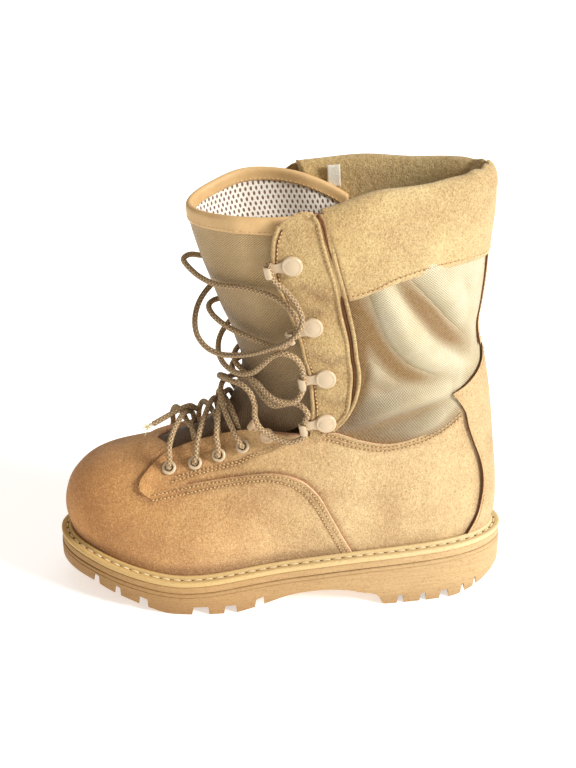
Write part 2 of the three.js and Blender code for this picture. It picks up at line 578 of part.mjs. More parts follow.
// Free stretches of the lace from hook to hook, as [x, y, z]. They alternate sides: the a stretches start at
// the inner side's last eyelet and reach the inner side's top hook, the b stretches mirror that.
const STRETCHES = [
  { name: "lace_a1", points: [
    [-27, 32, 122], [-30, 31, 131], [-35, 25, 142], [-40, 14, 150], [-41, 2, 155], [-38, -10, 159], [-33, -21, 162],
    [-26, -29, 163], [-20, -34, 159], [-17, -36, 151], [-17, -37, 143], [-14, -39, 136], [-8, -40, 131],
    [-1, -42, 128], [6, -44, 127], [12, -45, 129], [16, -45, 132]] },
  { name: "lace_a2", points: [
    [16, -45, 143], [18, -46, 148], [15, -45, 153], [9, -40, 154], [2, -36, 151], [-5, -33, 149], [-11, -29, 153],
    [-17, -23, 160], [-24, -15, 166], [-30, -5, 169], [-30, 7, 171], [-25, 20, 171], [-14, 33, 168], [-2, 42, 164],
    [7, 46, 162], [13, 47, 164]] },
  { name: "lace_a3", points: [
    [15, 46, 177], [12, 46, 184], [5, 45, 190], [-6, 41, 194], [-19, 35, 198], [-33, 25, 203], [-43, 12, 207],
    [-47, -1, 208], [-44, -12, 206], [-36, -20, 202], [-26, -27, 199], [-14, -36, 197], [-4, -44, 197],
    [3, -48, 199]] },
  { name: "lace_a4", points: [
    [11, -49, 211], [11, -50, 218], [6, -49, 225], [-2, -46, 231], [-12, -42, 234], [-25, -36, 235], [-40, -26, 233],
    [-52, -14, 234], [-60, -5, 238], [-63, 3, 240], [-59, 11, 240], [-51, 19, 236], [-41, 28, 231], [-29, 36, 229],
    [-18, 43, 233], [-11, 48, 241], [-8, 50, 246]] },
  { name: "lace_b1", points: [
    [-28, -32, 122], [-32, -28, 129], [-36, -22, 136], [-39, -14, 143], [-40, -3, 149], [-37, 8, 150], [-31, 18, 148],
    [-23, 28, 144], [-13, 36, 138], [-3, 42, 132], [7, 45, 128], [13, 46, 129], [16, 45, 132]] },
  { name: "lace_b2", points: [
    [15, 45, 143], [13, 44, 149], [6, 42, 154], [-5, 37, 158], [-17, 29, 161], [-27, 17, 162], [-32, 4, 163],
    [-31, -8, 163], [-27, -18, 164], [-21, -26, 166], [-15, -32, 165], [-10, -37, 161], [-4, -42, 158],
    [3, -45, 157], [10, -47, 159], [14, -47, 165]] },
  { name: "lace_b3", points: [
    [15, -47, 177], [14, -47, 183], [10, -48, 190], [3, -47, 193], [-4, -43, 190], [-11, -39, 182], [-18, -34, 174],
    [-27, -27, 170], [-36, -17, 171], [-41, -4, 175], [-40, 11, 181], [-32, 26, 187], [-20, 38, 190], [-7, 46, 194],
    [2, 49, 199]] },
  { name: "lace_b4", points: [
    [9, 48, 211], [6, 48, 217], [-2, 46, 222], [-14, 42, 223], [-30, 33, 221], [-43, 20, 217], [-52, 6, 211],
    [-56, -6, 203], [-55, -15, 194], [-49, -21, 187], [-40, -26, 184], [-29, -33, 186], [-17, -41, 191],
    [-6, -49, 198], [3, -55, 204], [11, -58, 212], [14, -57, 221], [10, -54, 231], [3, -51, 239], [-4, -50, 245]] },
  { name: "lace_end", points: [
    [-57, 10, 126], [-62, 5, 131], [-70, 0, 130], [-79, -3, 126], [-87, -5, 122]] },
];
const LACE_STEP = 3 * LACE;  // longest facet of a free stretch

function stretch(points) {
  const path = new THREE.CatmullRomCurve3(points.map((p) => new THREE.Vector3(...p)), false, "centripetal");
  return cord(points, Math.ceil(path.getLength() / LACE_STEP));
}

// ---------------------------------------------------------------- assembly
const COLOURS = {
  suede: { color: 0xc9a266, roughness: 0.95 },
  nylon: { color: 0xb9a983, roughness: 0.6 },
  collar: { color: 0xd3b77f, roughness: 0.95 },
  rubber: { color: 0xc7a25c, roughness: 0.7 },
  welt: { color: 0xdcb768, roughness: 0.6 },
  insole: { color: 0x9c8058, roughness: 0.9 },
  metal: { color: 0xe6dcc4, roughness: 0.35, metalness: 0.1 },
  lace: { color: 0xa58a6a, roughness: 0.9 },
};

const boot = new THREE.Group();

function addPiece(name, geometry, look) {
  const piece = new THREE.Mesh(geometry, new THREE.MeshStandardMaterial(COLOURS[look]));
  piece.name = name;
  boot.add(piece);
}

addPiece("outsole", outsole(), "rubber");
addPiece("midsole", midsole(), "rubber");
addPiece("welt", welt(), "welt");
addPiece("insole", insole(), "insole");
addPiece("upper", upper(), "suede");
addPiece("backstay", backstay(), "suede");
addPiece("backstrip", backstrip(), "suede");
addPiece("collar", collar(), "collar");
addPiece("tongue", tongue(), "nylon");

for (const { hand, side } of [{ hand: 1, side: "lateral" }, { hand: -1, side: "medial" }]) {
  addPiece(`facing_${side}`, facing(hand), "suede");
  EYELETS.forEach(({ angle, level }, i) => {
    addPiece(`eyelet_${side}_${i + 1}`, placeOn(eyelet(), hand * angle, level, LAID), "metal");
  });
  HOOKS.forEach((place, i) => {
    const proud = i < 4 ? LAID + LEATHER : LAID;
    addPiece(`hook_${side}_${i + 1}`, hook(hand, place, proud + GAP), "metal");
  });
}

CROSSINGS.forEach((near, i) => addPiece(`lace_crossing_${i + 1}`, crossing(near), "lace"));
for (const { name, points } of STRETCHES) addPiece(name, stretch(points), "lace");

export default boot;
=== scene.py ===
# Combat boot, left foot: the visual model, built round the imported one. Tables are in millimetres and degrees,
# as the part's own are; meshes are made in metres.
import math

import bpy
import numpy as np
from mathutils import Matrix, Vector
from mathutils.geometry import delaunay_2d_cdt


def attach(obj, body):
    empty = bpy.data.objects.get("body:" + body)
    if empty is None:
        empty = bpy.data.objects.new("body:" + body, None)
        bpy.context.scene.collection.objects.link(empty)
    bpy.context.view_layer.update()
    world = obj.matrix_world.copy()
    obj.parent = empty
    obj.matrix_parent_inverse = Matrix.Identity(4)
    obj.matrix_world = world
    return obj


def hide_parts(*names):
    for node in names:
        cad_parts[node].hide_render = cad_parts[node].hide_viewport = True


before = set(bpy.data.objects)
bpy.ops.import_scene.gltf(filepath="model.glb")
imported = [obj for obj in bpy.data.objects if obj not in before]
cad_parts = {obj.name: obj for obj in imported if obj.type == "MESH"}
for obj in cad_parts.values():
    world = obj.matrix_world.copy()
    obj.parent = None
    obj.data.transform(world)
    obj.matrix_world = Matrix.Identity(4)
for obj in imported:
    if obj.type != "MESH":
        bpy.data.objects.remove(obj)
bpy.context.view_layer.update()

MM = 0.001
BODY = "root"

# ---------------------------------------------------------------- camera
VIEW_AZIMUTH, VIEW_ELEVATION, VIEW_ROLL = 0.97, 25.43, -0.18   # degrees
VIEW_DISTANCE = 1.2
VIEW_TARGET = Vector((0.0057, 0, 0.14905))
LENS_MM, SENSOR_MM = 82.5, 36


def make_camera():
    a, e = math.radians(VIEW_AZIMUTH), math.radians(VIEW_ELEVATION)
    forward = Vector((math.sin(a) * math.cos(e), math.cos(a) * math.cos(e), -math.sin(e)))
    camera = bpy.data.objects.new("camera", bpy.data.cameras.new("camera"))
    camera.data.lens = LENS_MM
    camera.data.sensor_width = SENSOR_MM
    camera.data.clip_end = 20
    camera.rotation_mode = "QUATERNION"
    roll = Matrix.Rotation(math.radians(VIEW_ROLL), 4, "Z").to_quaternion()
    camera.rotation_quaternion = forward.to_track_quat("-Z", "Y") @ roll
    camera.location = VIEW_TARGET - forward * VIEW_DISTANCE
    bpy.context.scene.collection.objects.link(camera)
    bpy.context.scene.camera = camera


make_camera()

# ---------------------------------------------------------------- the last: tables shared with the part
RINGS = np.array([
    # back x, back z, front x, front z, then half widths: heel, rear, side, fore, toe
    (146.5, 43.8, -146.5, 38.5, 50, 41, 39, 54, 62),
    (148.5, 58, -150.5, 53, 53, 44, 42, 56.5, 62),
    (148, 73, -149.5, 68, 52, 44, 42.5, 55.5, 61),
    (147, 88, -143.5, 83, 51, 44, 41, 47, 58),
    (145.5, 101, -130, 96.5, 48, 42, 40, 37.5, 53),
    (144, 113, -106, 106, 46.5, 41, 37.5, 31, 30),
    (142.5, 126, -80, 111.5, 45, 40, 37, 33.5, 22),
    (141, 139, -58, 120, 44, 39.5, 37.5, 35, 22),
    (139.5, 152, -40, 133, 43, 40, 39.5, 38.5, 27),
    (137.5, 166, -29, 151, 41, 41.5, 41, 41.5, 34),
    (134.5, 180, -26, 171, 40, 42, 42.5, 43.5, 39),
    (132, 196, -32, 191, 39.5, 43, 44, 45, 42.5),
    (134, 214, -39.5, 212, 39, 44, 45, 46, 44.5),
    (136, 234, -46.5, 232, 38, 44.5, 46, 47.5, 46),
    (137, 256, -53, 250, 39, 44, 46.5, 48.5, 47),
    (138.5, 279, -58, 267, 37, 42.5, 47, 49.5, 48),
    (139, 299.5, -60, 283, 35, 41, 47, 50, 48),
    (139.5, 318, -62, 299, 34, 40.5, 47, 50, 48),
])
WELT_LINE = np.array([  # x, z of the welt's top
    (-160, 40), (-150, 38.5), (-135, 36), (-118, 32), (-97, 28), (-74, 25.5), (-50, 26.5), (-20, 30.5),
    (10, 34.5), (45, 38), (80, 40), (115, 41.5), (160, 43.5),
], float)
SWING = np.array([  # x, y of the foot's middle line
    (-155, 6), (-110, 3.5), (-70, 0.3), (-30, -2), (20, -3.5), (70, -1), (110, 0), (155, 0),
], float)
GAP = 0.3
WALL = 2.4
WELT_REACH, WELT_THICK, MIDSOLE_THICK = 8.5, 3.8, 5.0


def curve(xs, ys, at):
    """Smooth value at a place on a table's first column; ys may have several columns."""
    xs, ys = np.asarray(xs, float), np.asarray(ys, float)
    at = np.clip(np.asarray(at, float), xs[0], xs[-1])
    slope = np.empty_like(ys)
    slope[1:-1] = ((ys[2:] - ys[:-2]).T / (xs[2:] - xs[:-2])).T
    slope[0] = (ys[1] - ys[0]) / (xs[1] - xs[0])
    slope[-1] = (ys[-1] - ys[-2]) / (xs[-1] - xs[-2])
    i = np.clip(np.searchsorted(xs, at, side="right") - 1, 0, len(xs) - 2)
    span = xs[i + 1] - xs[i]
    u = (at - xs[i]) / span
    if ys.ndim > 1:
        span, u = span[..., None], u[..., None]
    share = u * u * (3 - 2 * u)
    bend = span * (u * (1 - u) ** 2 * slope[i] + u * u * (u - 1) * slope[i + 1])
    return ys[i] * (1 - share) + ys[i + 1] * share + bend


def read(table, at):
    """Smooth value of a two-column table."""
    return curve(table[:, 0], table[:, 1], at)


def across(widths, along):
    """Half width at a share of the way from the heel to the front, from five widths a point."""
    slope = np.empty_like(widths)
    slope[..., 1:-1] = (widths[..., 2:] - widths[..., :-2]) / 0.5
    slope[..., 0] = (widths[..., 1] - widths[..., 0]) / 0.25
    slope[..., -1] = (widths[..., -1] - widths[..., -2]) / 0.25
    i = np.clip((along * 4).astype(int), 0, 3)
    u = along * 4 - i
    pick = lambda values, k: np.take_along_axis(values, k[..., None], -1)[..., 0]
    share = u * u * (3 - 2 * u)
    bend = 0.25 * (u * (1 - u) ** 2 * pick(slope, i) + u * u * (u - 1) * pick(slope, i + 1))
    return pick(widths, i) * (1 - share) + pick(widths, i + 1) * share + bend


def ease(low, high, value):
    """0 up to low, 1 from high on, and smooth between."""
    u = np.clip((np.asarray(value, float) - low) / (high - low), 0, 1)
    return u * u * (3 - 2 * u)


welt_top = lambda x: read(WELT_LINE, x)
swing = lambda x: read(SWING, x)


def skin(angle, level):
    """A point of the upper's outer face. Angle is 0 at the heel and 180 at the toe, positive on the outer
    side; level counts the last's rings."""
    angle, level = np.broadcast_arrays(np.asarray(angle, float), np.asarray(level, float))
    turn = np.radians(angle)
    along = (1 - np.cos(turn)) / 2
    ring = curve(np.arange(len(RINGS)), RINGS, level)
    x = ring[..., 0] + (ring[..., 2] - ring[..., 0]) * along
    leaning = ring[..., 1] + (ring[..., 3] - ring[..., 1]) * along
    base = RINGS[0]
    chord = base[1] + (base[3] - base[1]) * (base[0] - x) / (base[0] - base[2])
    z = leaning + (1 - ease(0, 6, level)) * (welt_top(x) + GAP - chord)
    y = swing(x) * (1 - ease(4, 9, level)) - np.sin(turn) * across(ring[..., 4:], along)
    return np.stack([x, y, z], -1)


def unit(v):
    return v / np.maximum(np.linalg.norm(v, axis=-1, keepdims=True), 1e-12)


def outward(angle, level):
    level = np.asarray(level, float)
    up = skin(angle, level + 0.05) - skin(angle, np.maximum(level - 0.05, 0))
    around = skin(np.asarray(angle) + 1, level) - skin(np.asarray(angle) - 1, level)
    return unit(np.cross(up, around))


def wrap(angle, level, proud=0.0):
    return skin(angle, level) + outward(angle, level) * np.asarray(proud, float)[..., None]


def footprint(angle, reach):
    """The sole's outline: ring 0 moved out by reach, in plan."""
    around = skin(angle + 1, 0) - skin(angle - 1, 0)
    out = np.stack([-around[..., 1], around[..., 0], np.zeros_like(around[..., 0])], -1)
    return skin(angle, 0) + unit(out) * np.asarray(reach, float)[..., None]


# ---------------------------------------------------------------- small geometry tools
SMOOTHING = 0.75     # power of a chord's length that a smooth line gives it
FLAT = np.array([2.2, 14.0])     # rough millimetres in a degree and in a level, for laying out panels
RING_MM = 16.5       # rough millimetres in a level, for sections that run up and outwards


def smooth_line(points, step):
    """Points along one smooth curve through the given ones, step apart."""
    points = np.asarray(points, float)
    chord = np.concatenate([[0], np.cumsum(np.linalg.norm(np.diff(points, axis=0), axis=1) ** SMOOTHING)])
    fine = curve(chord, points, np.linspace(0, chord[-1], 24 * len(points)))
    return spaced(fine, step)


def run(line):
    """How far along a line each of its points is."""
    return np.concatenate([[0], np.cumsum(np.linalg.norm(np.diff(line, axis=0), axis=1))])


def at_run(at, along, values):
    """A line's values at some distances along it."""
    return np.stack([np.interp(at, along, values[:, k]) for k in range(values.shape[1])], 1)


def spaced(line, step):
    along = run(line)
    return at_run(np.linspace(0, along[-1], max(2, round(along[-1] / step) + 1)), along, line)


def near_line(points, line):
    """How far each point is from a line, and its share of the way along it."""
    best, where = np.full(len(points), np.inf), np.zeros(len(points))
    for i, (a, b) in enumerate(zip(line[:-1], line[1:])):
        d = b - a
        t = np.clip(((points - a) @ d) / max(d @ d, 1e-12), 0, 1)
        far = np.linalg.norm(points - a - t[:, None] * d, axis=1)
        closer = far < best
        best[closer] = far[closer]
        where[closer] = (i + t[closer]) / (len(line) - 1)
    return best, where


def smooth_places(line):
    """(angle, level) points along one smooth curve, a millimetre apart on the flat layout."""
    places = smooth_line(np.asarray(line, float) * FLAT, 1.0) / FLAT
    return places[:, 0], places[:, 1]


def laid(line, proud=0.0):
    """A line of (angle, level) points as points in space on the upper."""
    angle, level = smooth_places(line)
    return spaced(wrap(angle, level, np.full(len(angle), float(proud))), 1.5)


def fold(points, line, width, height):
    """A soft ridge (or trough, if height is negative) along a line, fading out at its ends."""
    far, where = near_line(points, line)
    return height * np.exp(-((far / width) ** 2)) * np.sin(np.pi * np.clip(where, 0.02, 0.98)) ** 0.6


def grooves(points, lines, width=1.3):
    """0 to 1: how deep in one of the narrow grooves along some lines each point lies."""
    deep = np.zeros(len(points))
    for line in lines:
        deep = np.maximum(deep, np.exp(-((near_line(points, line)[0] / width) ** 2)))
    return deep


def mirror(line, hand):
    """A line of (angle, level) points as it is, or on the other side if hand is -1."""
    return [(float(hand * a), float(level)) for a, level in line]


def link(name, mesh, slot, material, *more):
    piece = bpy.data.objects.new(name, mesh)
    bpy.context.scene.collection.objects.link(piece)
    for m in (material, *more):
        mesh.materials.append(m)
    mesh.shade_smooth()
    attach(piece, BODY)
    return piece


def mesh_of(name, points, faces, uv=None, index=None):
    mesh = bpy.data.meshes.new(name)
    mesh.from_pydata((np.asarray(points, float) * MM).tolist(), [], [tuple(map(int, f)) for f in faces])
    if uv is not None:
        layer = mesh.uv_layers.new(name="millimetres")
        loops = np.zeros(len(mesh.loops), np.int32)
        mesh.loops.foreach_get("vertex_index", loops)
        layer.data.foreach_set("uv", np.asarray(uv, np.float32)[loops].ravel())
    if index is not None:
        mesh.polygons.foreach_set("material_index", np.asarray(index, np.int32))
    mesh.update()
    return mesh


def grid_faces(rows, columns, round_rows=False, round_columns=False):
    faces = []
    for j in range(rows if round_rows else rows - 1):
        for i in range(columns if round_columns else columns - 1):
            k, m = (i + 1) % columns, (j + 1) % rows
            faces.append((j * columns + i, j * columns + k, m * columns + k, m * columns + i))
    return faces


def tube_faces(rows, columns):
    """Rows of points round a tube, with a cap at each end."""
    last = (rows - 1) * columns
    caps = [tuple(range(columns))[::-1], tuple(range(last, last + columns))]
    return grid_faces(rows, columns, False, True) + caps


def sheet_faces(rows, columns):
    """A thick sheet: its front, its back, whose points follow the front's, and the rim between them."""
    count = rows * columns
    front = grid_faces(rows, columns)
    back = [tuple(i + count for i in face[::-1]) for face in front]
    loop = [*range(columns), *[j * columns + columns - 1 for j in range(1, rows)],
            *[(rows - 1) * columns + i for i in range(columns - 2, -1, -1)],
            *[j * columns for j in range(rows - 2, 0, -1)]]
    rim = [(i, i + count, j + count, j) for i, j in zip(loop, loop[1:] + loop[:1])]
    return front, back, rim


def face_out(mesh):
    """Turns a closed mesh's faces outwards."""
    co = np.zeros(len(mesh.vertices) * 3)
    mesh.vertices.foreach_get("co", co)
    co = co.reshape(-1, 3)
    mesh.calc_loop_triangles()
    tri = np.array([t.vertices for t in mesh.loop_triangles])
    volume = np.einsum("ij,ij->i", co[tri[:, 0]], np.cross(co[tri[:, 1]], co[tri[:, 2]])).sum()
    if volume < 0:
        mesh.flip_normals()
    return mesh


def loft(name, rows, slot, material, closed=False, uv=None):
    """A body through rings of points: closed on itself, or with a cap at each end."""
    rows = np.asarray(rows, float)
    count, columns = rows.shape[:2]
    faces = grid_faces(count, columns, True, True) if closed else tube_faces(count, columns)
    mesh = face_out(mesh_of(name, rows.reshape(-1, 3), faces, uv))
    return link(name, mesh, slot, material)


def rounded(piece, width, angle):
    bevel = piece.modifiers.new("rounded", "BEVEL")
    bevel.width = width * MM
    bevel.segments = 2
    bevel.limit_method = "ANGLE"
    bevel.angle_limit = math.radians(angle)
    normals = piece.modifiers.new("normals", "WEIGHTED_NORMAL")
    normals.weight = 60
    return piece


def inside(points, loop):
    """Which points of the plane lie inside a closed loop."""
    a, b = loop, np.roll(loop, -1, axis=0)
    hit = np.zeros(len(points), bool)
    for p, q in zip(a, b):
        crosses = (p[1] > points[:, 1]) != (q[1] > points[:, 1])
        reach = (q[0] - p[0]) * (points[:, 1] - p[1]) / (q[1] - p[1] + 1e-12) + p[0]
        hit ^= crosses & (points[:, 0] < reach)
    return hit


def outline(*edges, hand=1):
    """A closed loop on the flat layout from smooth edges that meet at corners."""
    return np.concatenate([smooth_line(np.array(mirror(edge, hand)) * FLAT, 1.5)[:-1] for edge in edges])


PANEL_PITCH = 1.7     # between the points of a panel's grid
ROW_SHARE = 0.87      # of the pitch, from one row of that grid to the next
EDGE_SHARE = 0.62     # of the pitch, kept free along a panel's edge


def panel(name, loop, outer, inner, slot, material, cut=None, holes=(), soften=0.5, uv=None, shade=None):
    """A sheet cut to a loop and laid on the last. outer and inner are how proud its two faces stand: numbers,
    or functions of the sheet's angles, levels and points on the last. holes are loops too."""
    loops = [loop, *holes]
    low, high = loop.min(0), loop.max(0)
    xs = np.arange(low[0], high[0], PANEL_PITCH)
    ys = np.arange(low[1], high[1], PANEL_PITCH * ROW_SHARE)
    gx, gy = np.meshgrid(xs, ys)
    gx = gx + (np.arange(len(ys)) % 2)[:, None] * PANEL_PITCH / 2
    grid = np.stack([gx.ravel(), gy.ravel()], 1)
    grid = grid[inside(grid, loop)]
    for ring in holes:
        grid = grid[~inside(grid, ring)]
    for ring in loops:
        far, _ = near_line(grid, np.concatenate([ring, ring[:1]]))
        grid = grid[far > EDGE_SHARE * PANEL_PITCH]
    flat = np.concatenate([*loops, grid])
    edges, start = [], 0
    for ring in loops:
        edges += [(start + i, start + (i + 1) % len(ring)) for i in range(len(ring))]
        start += len(ring)
    verts, _, tris, *_ = delaunay_2d_cdt([Vector(p) for p in flat], edges, [], 0, 1e-4)
    flat = np.array([tuple(v) for v in verts])
    tris = np.array([t for t in tris if len(t) == 3])
    middle = flat[tris].mean(1)
    keep = inside(middle, loop)
    for ring in holes:
        keep &= ~inside(middle, ring)
    tris = tris[keep]
    used, tris = np.unique(tris, return_inverse=True)
    tris = tris.reshape(-1, 3)
    flat = flat[used]
    angle, level = flat[:, 0] / FLAT[0], flat[:, 1] / FLAT[1]
    on = skin(angle, level)
    normal = outward(angle, level)
    proud = [face(angle, level, on) if callable(face) else face for face in (outer, inner)]
    top, under = (on + normal * np.broadcast_to(up, len(on))[:, None] for up in proud)
    a, b, c = (on[tris[:, k]] for k in range(3))
    wrong = (np.cross(b - a, c - a) * normal[tris[:, 0]]).sum(1) < 0
    tris[wrong] = tris[wrong][:, ::-1]
    n = len(flat)
    directed = {(int(t[i]), int(t[(i + 1) % 3])) for t in tris for i in range(3)}
    border = sorted((i, j) for i, j in directed if (j, i) not in directed)
    faces = [tuple(t) for t in tris] + [tuple(t[::-1] + n) for t in tris]
    faces += [(i, i + n, j + n, j) for i, j in border]
    index = np.zeros(len(faces), int)
    if cut is not None:
        index[2 * len(tris):] = 1
    sheet = uv(angle, level) if uv else flat
    mesh = mesh_of(name, np.concatenate([top, under]), faces, np.concatenate([sheet, sheet]), index)
    if shade is not None:
        darkness = np.clip(shade(angle, level, on), 0, 1).astype(np.float32)
        layer = mesh.attributes.new("shade", "FLOAT", "POINT")
        layer.data.foreach_set("value", np.concatenate([darkness, darkness]))
    piece = link(name, mesh, slot, material, *([cut] if cut is not None else []))
    return rounded(piece, soften, 50) if soften else piece


def frames_along(line):
    """Tangent and two steady cross directions at each point of a line."""
    tangent = unit(np.gradient(line, axis=0))
    side = np.zeros_like(line)
    start = np.cross(tangent[0], (0, 0, 1.0))
    side[0] = unit(start if np.linalg.norm(start) > 0.1 else np.cross(tangent[0], (0, 1.0, 0)))
    for i in range(1, len(line)):
        carried = side[i - 1] - tangent[i] * (side[i - 1] @ tangent[i])
        side[i] = unit(carried)
    return tangent, side, np.cross(tangent, side)


def tube_rows(line, radius, sides):
    _, side, other = frames_along(line)
    turn = np.linspace(0, 2 * np.pi, sides, endpoint=False)
    radius = np.broadcast_to(radius, len(line))
    ring = np.cos(turn)[None, :, None] * side[:, None] + np.sin(turn)[None, :, None] * other[:, None]
    return line[:, None] + ring * radius[:, None, None]


def tube_parts(line, radius, sides):
    """Points, faces and (along, around) in millimetres of a round tube with closed ends."""
    rows = tube_rows(line, radius, sides)
    uv = np.stack(np.broadcast_arrays(run(line)[:, None], np.arange(sides) / sides * 12), -1)
    return rows.reshape(-1, 3), tube_faces(len(line), sides), uv.reshape(-1, 2)


def joined(name, parts, slot, material):
    """One piece made of several closed bodies, each given as points, faces and texture places."""
    points, faces, uv, start = [], [], [], 0
    for p, f, t in parts:
        points.append(p)
        uv.append(t)
        faces += [tuple(i + start for i in face) for face in f]
        start += len(p)
    mesh = mesh_of(name, np.concatenate(points), faces, np.concatenate(uv))
    return link(name, face_out(mesh), slot, material)


def bead(at, along, out, length, width, height, rings=5, sides=8):
    """A small rounded bar, such as a stitch: long along one way, half sunk in what it lies on."""
    across_it = unit(np.cross(out, along))
    points = []
    for t in np.linspace(-1, 1, rings):
        full = math.sqrt(max(1 - abs(t) ** 2.6, 0.04))
        for k in range(sides):
            turn = 2 * math.pi * k / sides
            off = across_it * math.cos(turn) * width / 2 * full + out * math.sin(turn) * height / 2 * full
            arch = out * (1 - t * t) * height * 0.35
            points.append(at + along * t * length / 2 + off + arch)
    return np.array(points), tube_faces(rings, sides), np.zeros((rings * sides, 2))


def stitches(line, normals, pitch, share=0.66, width=0.95, height=0.7, rings=5, sides=8, shift=0.0):
    """A row of stitches along a line, a pitch apart."""
    along = run(line)
    count = max(1, int(along[-1] // pitch))
    at = (np.arange(count) + 0.5 + shift) * along[-1] / count
    out = unit(at_run(at, along, normals))
    tangent = unit(at_run(at + 0.5, along, line) - at_run(at - 0.5, along, line))
    return [bead(m, t, o, pitch * share, width, height, rings, sides)
            for m, t, o in zip(at_run(at, along, line), tangent, out)]


def sewn(line, proud, pitch, **size):
    """A row of stitches along (angle, level) points, lying on a surface that stands proud of the last."""
    angle, level = smooth_places(line)
    lift = np.full(len(angle), float(proud))
    return stitches(wrap(angle, level, lift), outward(angle, level), pitch, **size)


def beside(line, by):
    """A line of (angle, level) points moved sideways by some millimetres on the flat layout."""
    flat = smooth_line(np.asarray(line, float) * FLAT, 2.0)
    tangent = unit(np.gradient(flat, axis=0))
    return (flat + np.stack([-tangent[:, 1], tangent[:, 0]], 1) * by) / FLAT


# ---------------------------------------------------------------- materials
class Look:
    """One material's node tree, with short calls for its nodes."""

    def __init__(self, name):
        self.material = bpy.data.materials.new(name)
        self.material.use_nodes = True
        self.tree = self.material.node_tree
        self.shader = self.tree.nodes["Principled BSDF"]

    def node(self, kind, inputs=(), **settings):
        node = self.tree.nodes.new(kind)
        for key, value in settings.items():
            setattr(node, key, value)
        for socket, value in dict(inputs).items():
            self.feed(node.inputs[socket], value)
        return node

    def feed(self, socket, value):
        if isinstance(value, bpy.types.NodeSocket):
            self.tree.links.new(value, socket)
        else:
            socket.default_value = value

    def place(self):
        return self.node("ShaderNodeTexCoord").outputs["Object"]

    def flat(self):
        return self.node("ShaderNodeUVMap", uv_map="millimetres").outputs["UV"]

    def stretch(self, vector, scale):
        return self.node("ShaderNodeMapping", {"Vector": vector, "Scale": scale}).outputs["Vector"]

    def noise(self, scale, detail=2.0, roughness=0.6, vector=None):
        inputs = {"Scale": scale, "Detail": detail, "Roughness": roughness, "Vector": vector or self.place()}
        return self.node("ShaderNodeTexNoise", inputs).outputs["Fac"]

    def math(self, operation, a, b=0.0, c=0.0):
        return self.node("ShaderNodeMath", {0: a, 1: b, 2: c}, operation=operation).outputs[0]

    def ramp(self, value, low, high, to_low=0.0, to_high=1.0):
        inputs = {0: value, 1: low, 2: high, 3: to_low, 4: to_high}
        return self.node("ShaderNodeMapRange", inputs).outputs[0]

    def blend(self, share, a, b, how="MIX"):
        node = self.node("ShaderNodeMix", data_type="RGBA", blend_type=how)
        self.feed(node.inputs[0], share)
        self.feed(node.inputs[6], a)
        self.feed(node.inputs[7], b)
        return node.outputs[2]

    def shade(self, most):
        """How far the listed folds and grooves darken a place; nothing where a piece has none."""
        node = self.node("ShaderNodeAttribute", attribute_name="shade")
        return self.ramp(node.outputs["Fac"], 0, 1, 0, most)

    def parts(self, vector):
        return self.node("ShaderNodeSeparateXYZ", {0: vector}).outputs

    def bump(self, height, distance, strength):
        """A normal from a height; distance in millimetres."""
        inputs = {"Height": height, "Distance": distance * MM, "Strength": strength}
        return self.node("ShaderNodeBump", inputs).outputs["Normal"]

    def finish(self, color, roughness, **more):
        """Feeds the shader's sockets; more names them with _ for each space."""
        for name, value in {"Base_Color": color, "Roughness": roughness, **more}.items():
            self.feed(self.shader.inputs[name.replace("_", " ")], value)
        return self.material


def rgb(r, g, b):
    """A colour given as on a screen, 0 to 255, as the shader wants it."""
    linear = lambda v: v / 12.92 if v <= 0.04045 else ((v + 0.055) / 1.055) ** 2.4
    return (*[linear(v / 255) for v in (r, g, b)], 1.0)


def suede(name, warm, pale, grain=1.0, from_x=-0.16, to_x=0.13):
    """Rough-out leather: fine nap with light and dark grains, warmer at the toe and paler at the heel, partly
    its own tone and partly painted shade at the toe and painted light at the heel.
    """
    look = Look(name)
    x = look.parts(look.place())[0]
    # Toe-to-heel gradient: partly the leather's own tone, partly painted shade at the toe and painted light at
    # the heel.
    base = look.blend(look.ramp(x, from_x, to_x), warm, pale)
    patches = look.noise(24, 3, 0.6)
    base = look.blend(look.ramp(patches, 0.35, 0.75, 0, 0.5), base, rgb(160, 114, 68), "MULTIPLY")
    base = look.blend(look.shade(0.75), base, rgb(112, 74, 42), "MULTIPLY")
    fine = look.noise(900, 3, 0.75)
    coarse = look.noise(330, 2, 0.6)
    dark = look.ramp(fine, 0.34, 0.5, 0.6 * grain, 0)
    light = look.ramp(fine, 0.53, 0.7, 0, 0.6 * grain)
    color = look.blend(dark, base, rgb(136, 90, 44))
    color = look.blend(light, color, rgb(242, 212, 160))
    color = look.blend(look.ramp(coarse, 0.3, 0.6, 0.2, 0), color, rgb(140, 98, 56))
    height = look.math("ADD", look.math("MULTIPLY", fine, 0.55), look.math("MULTIPLY", coarse, 0.6))
    return look.finish(color, 0.92, Normal=look.bump(height, 1.5, 0.95), Sheen_Weight=0.22,
                       Sheen_Roughness=0.6, Specular_IOR_Level=0.2)


WEAVE_PITCH, WEAVE_DEPTH = 1.7, 0.34


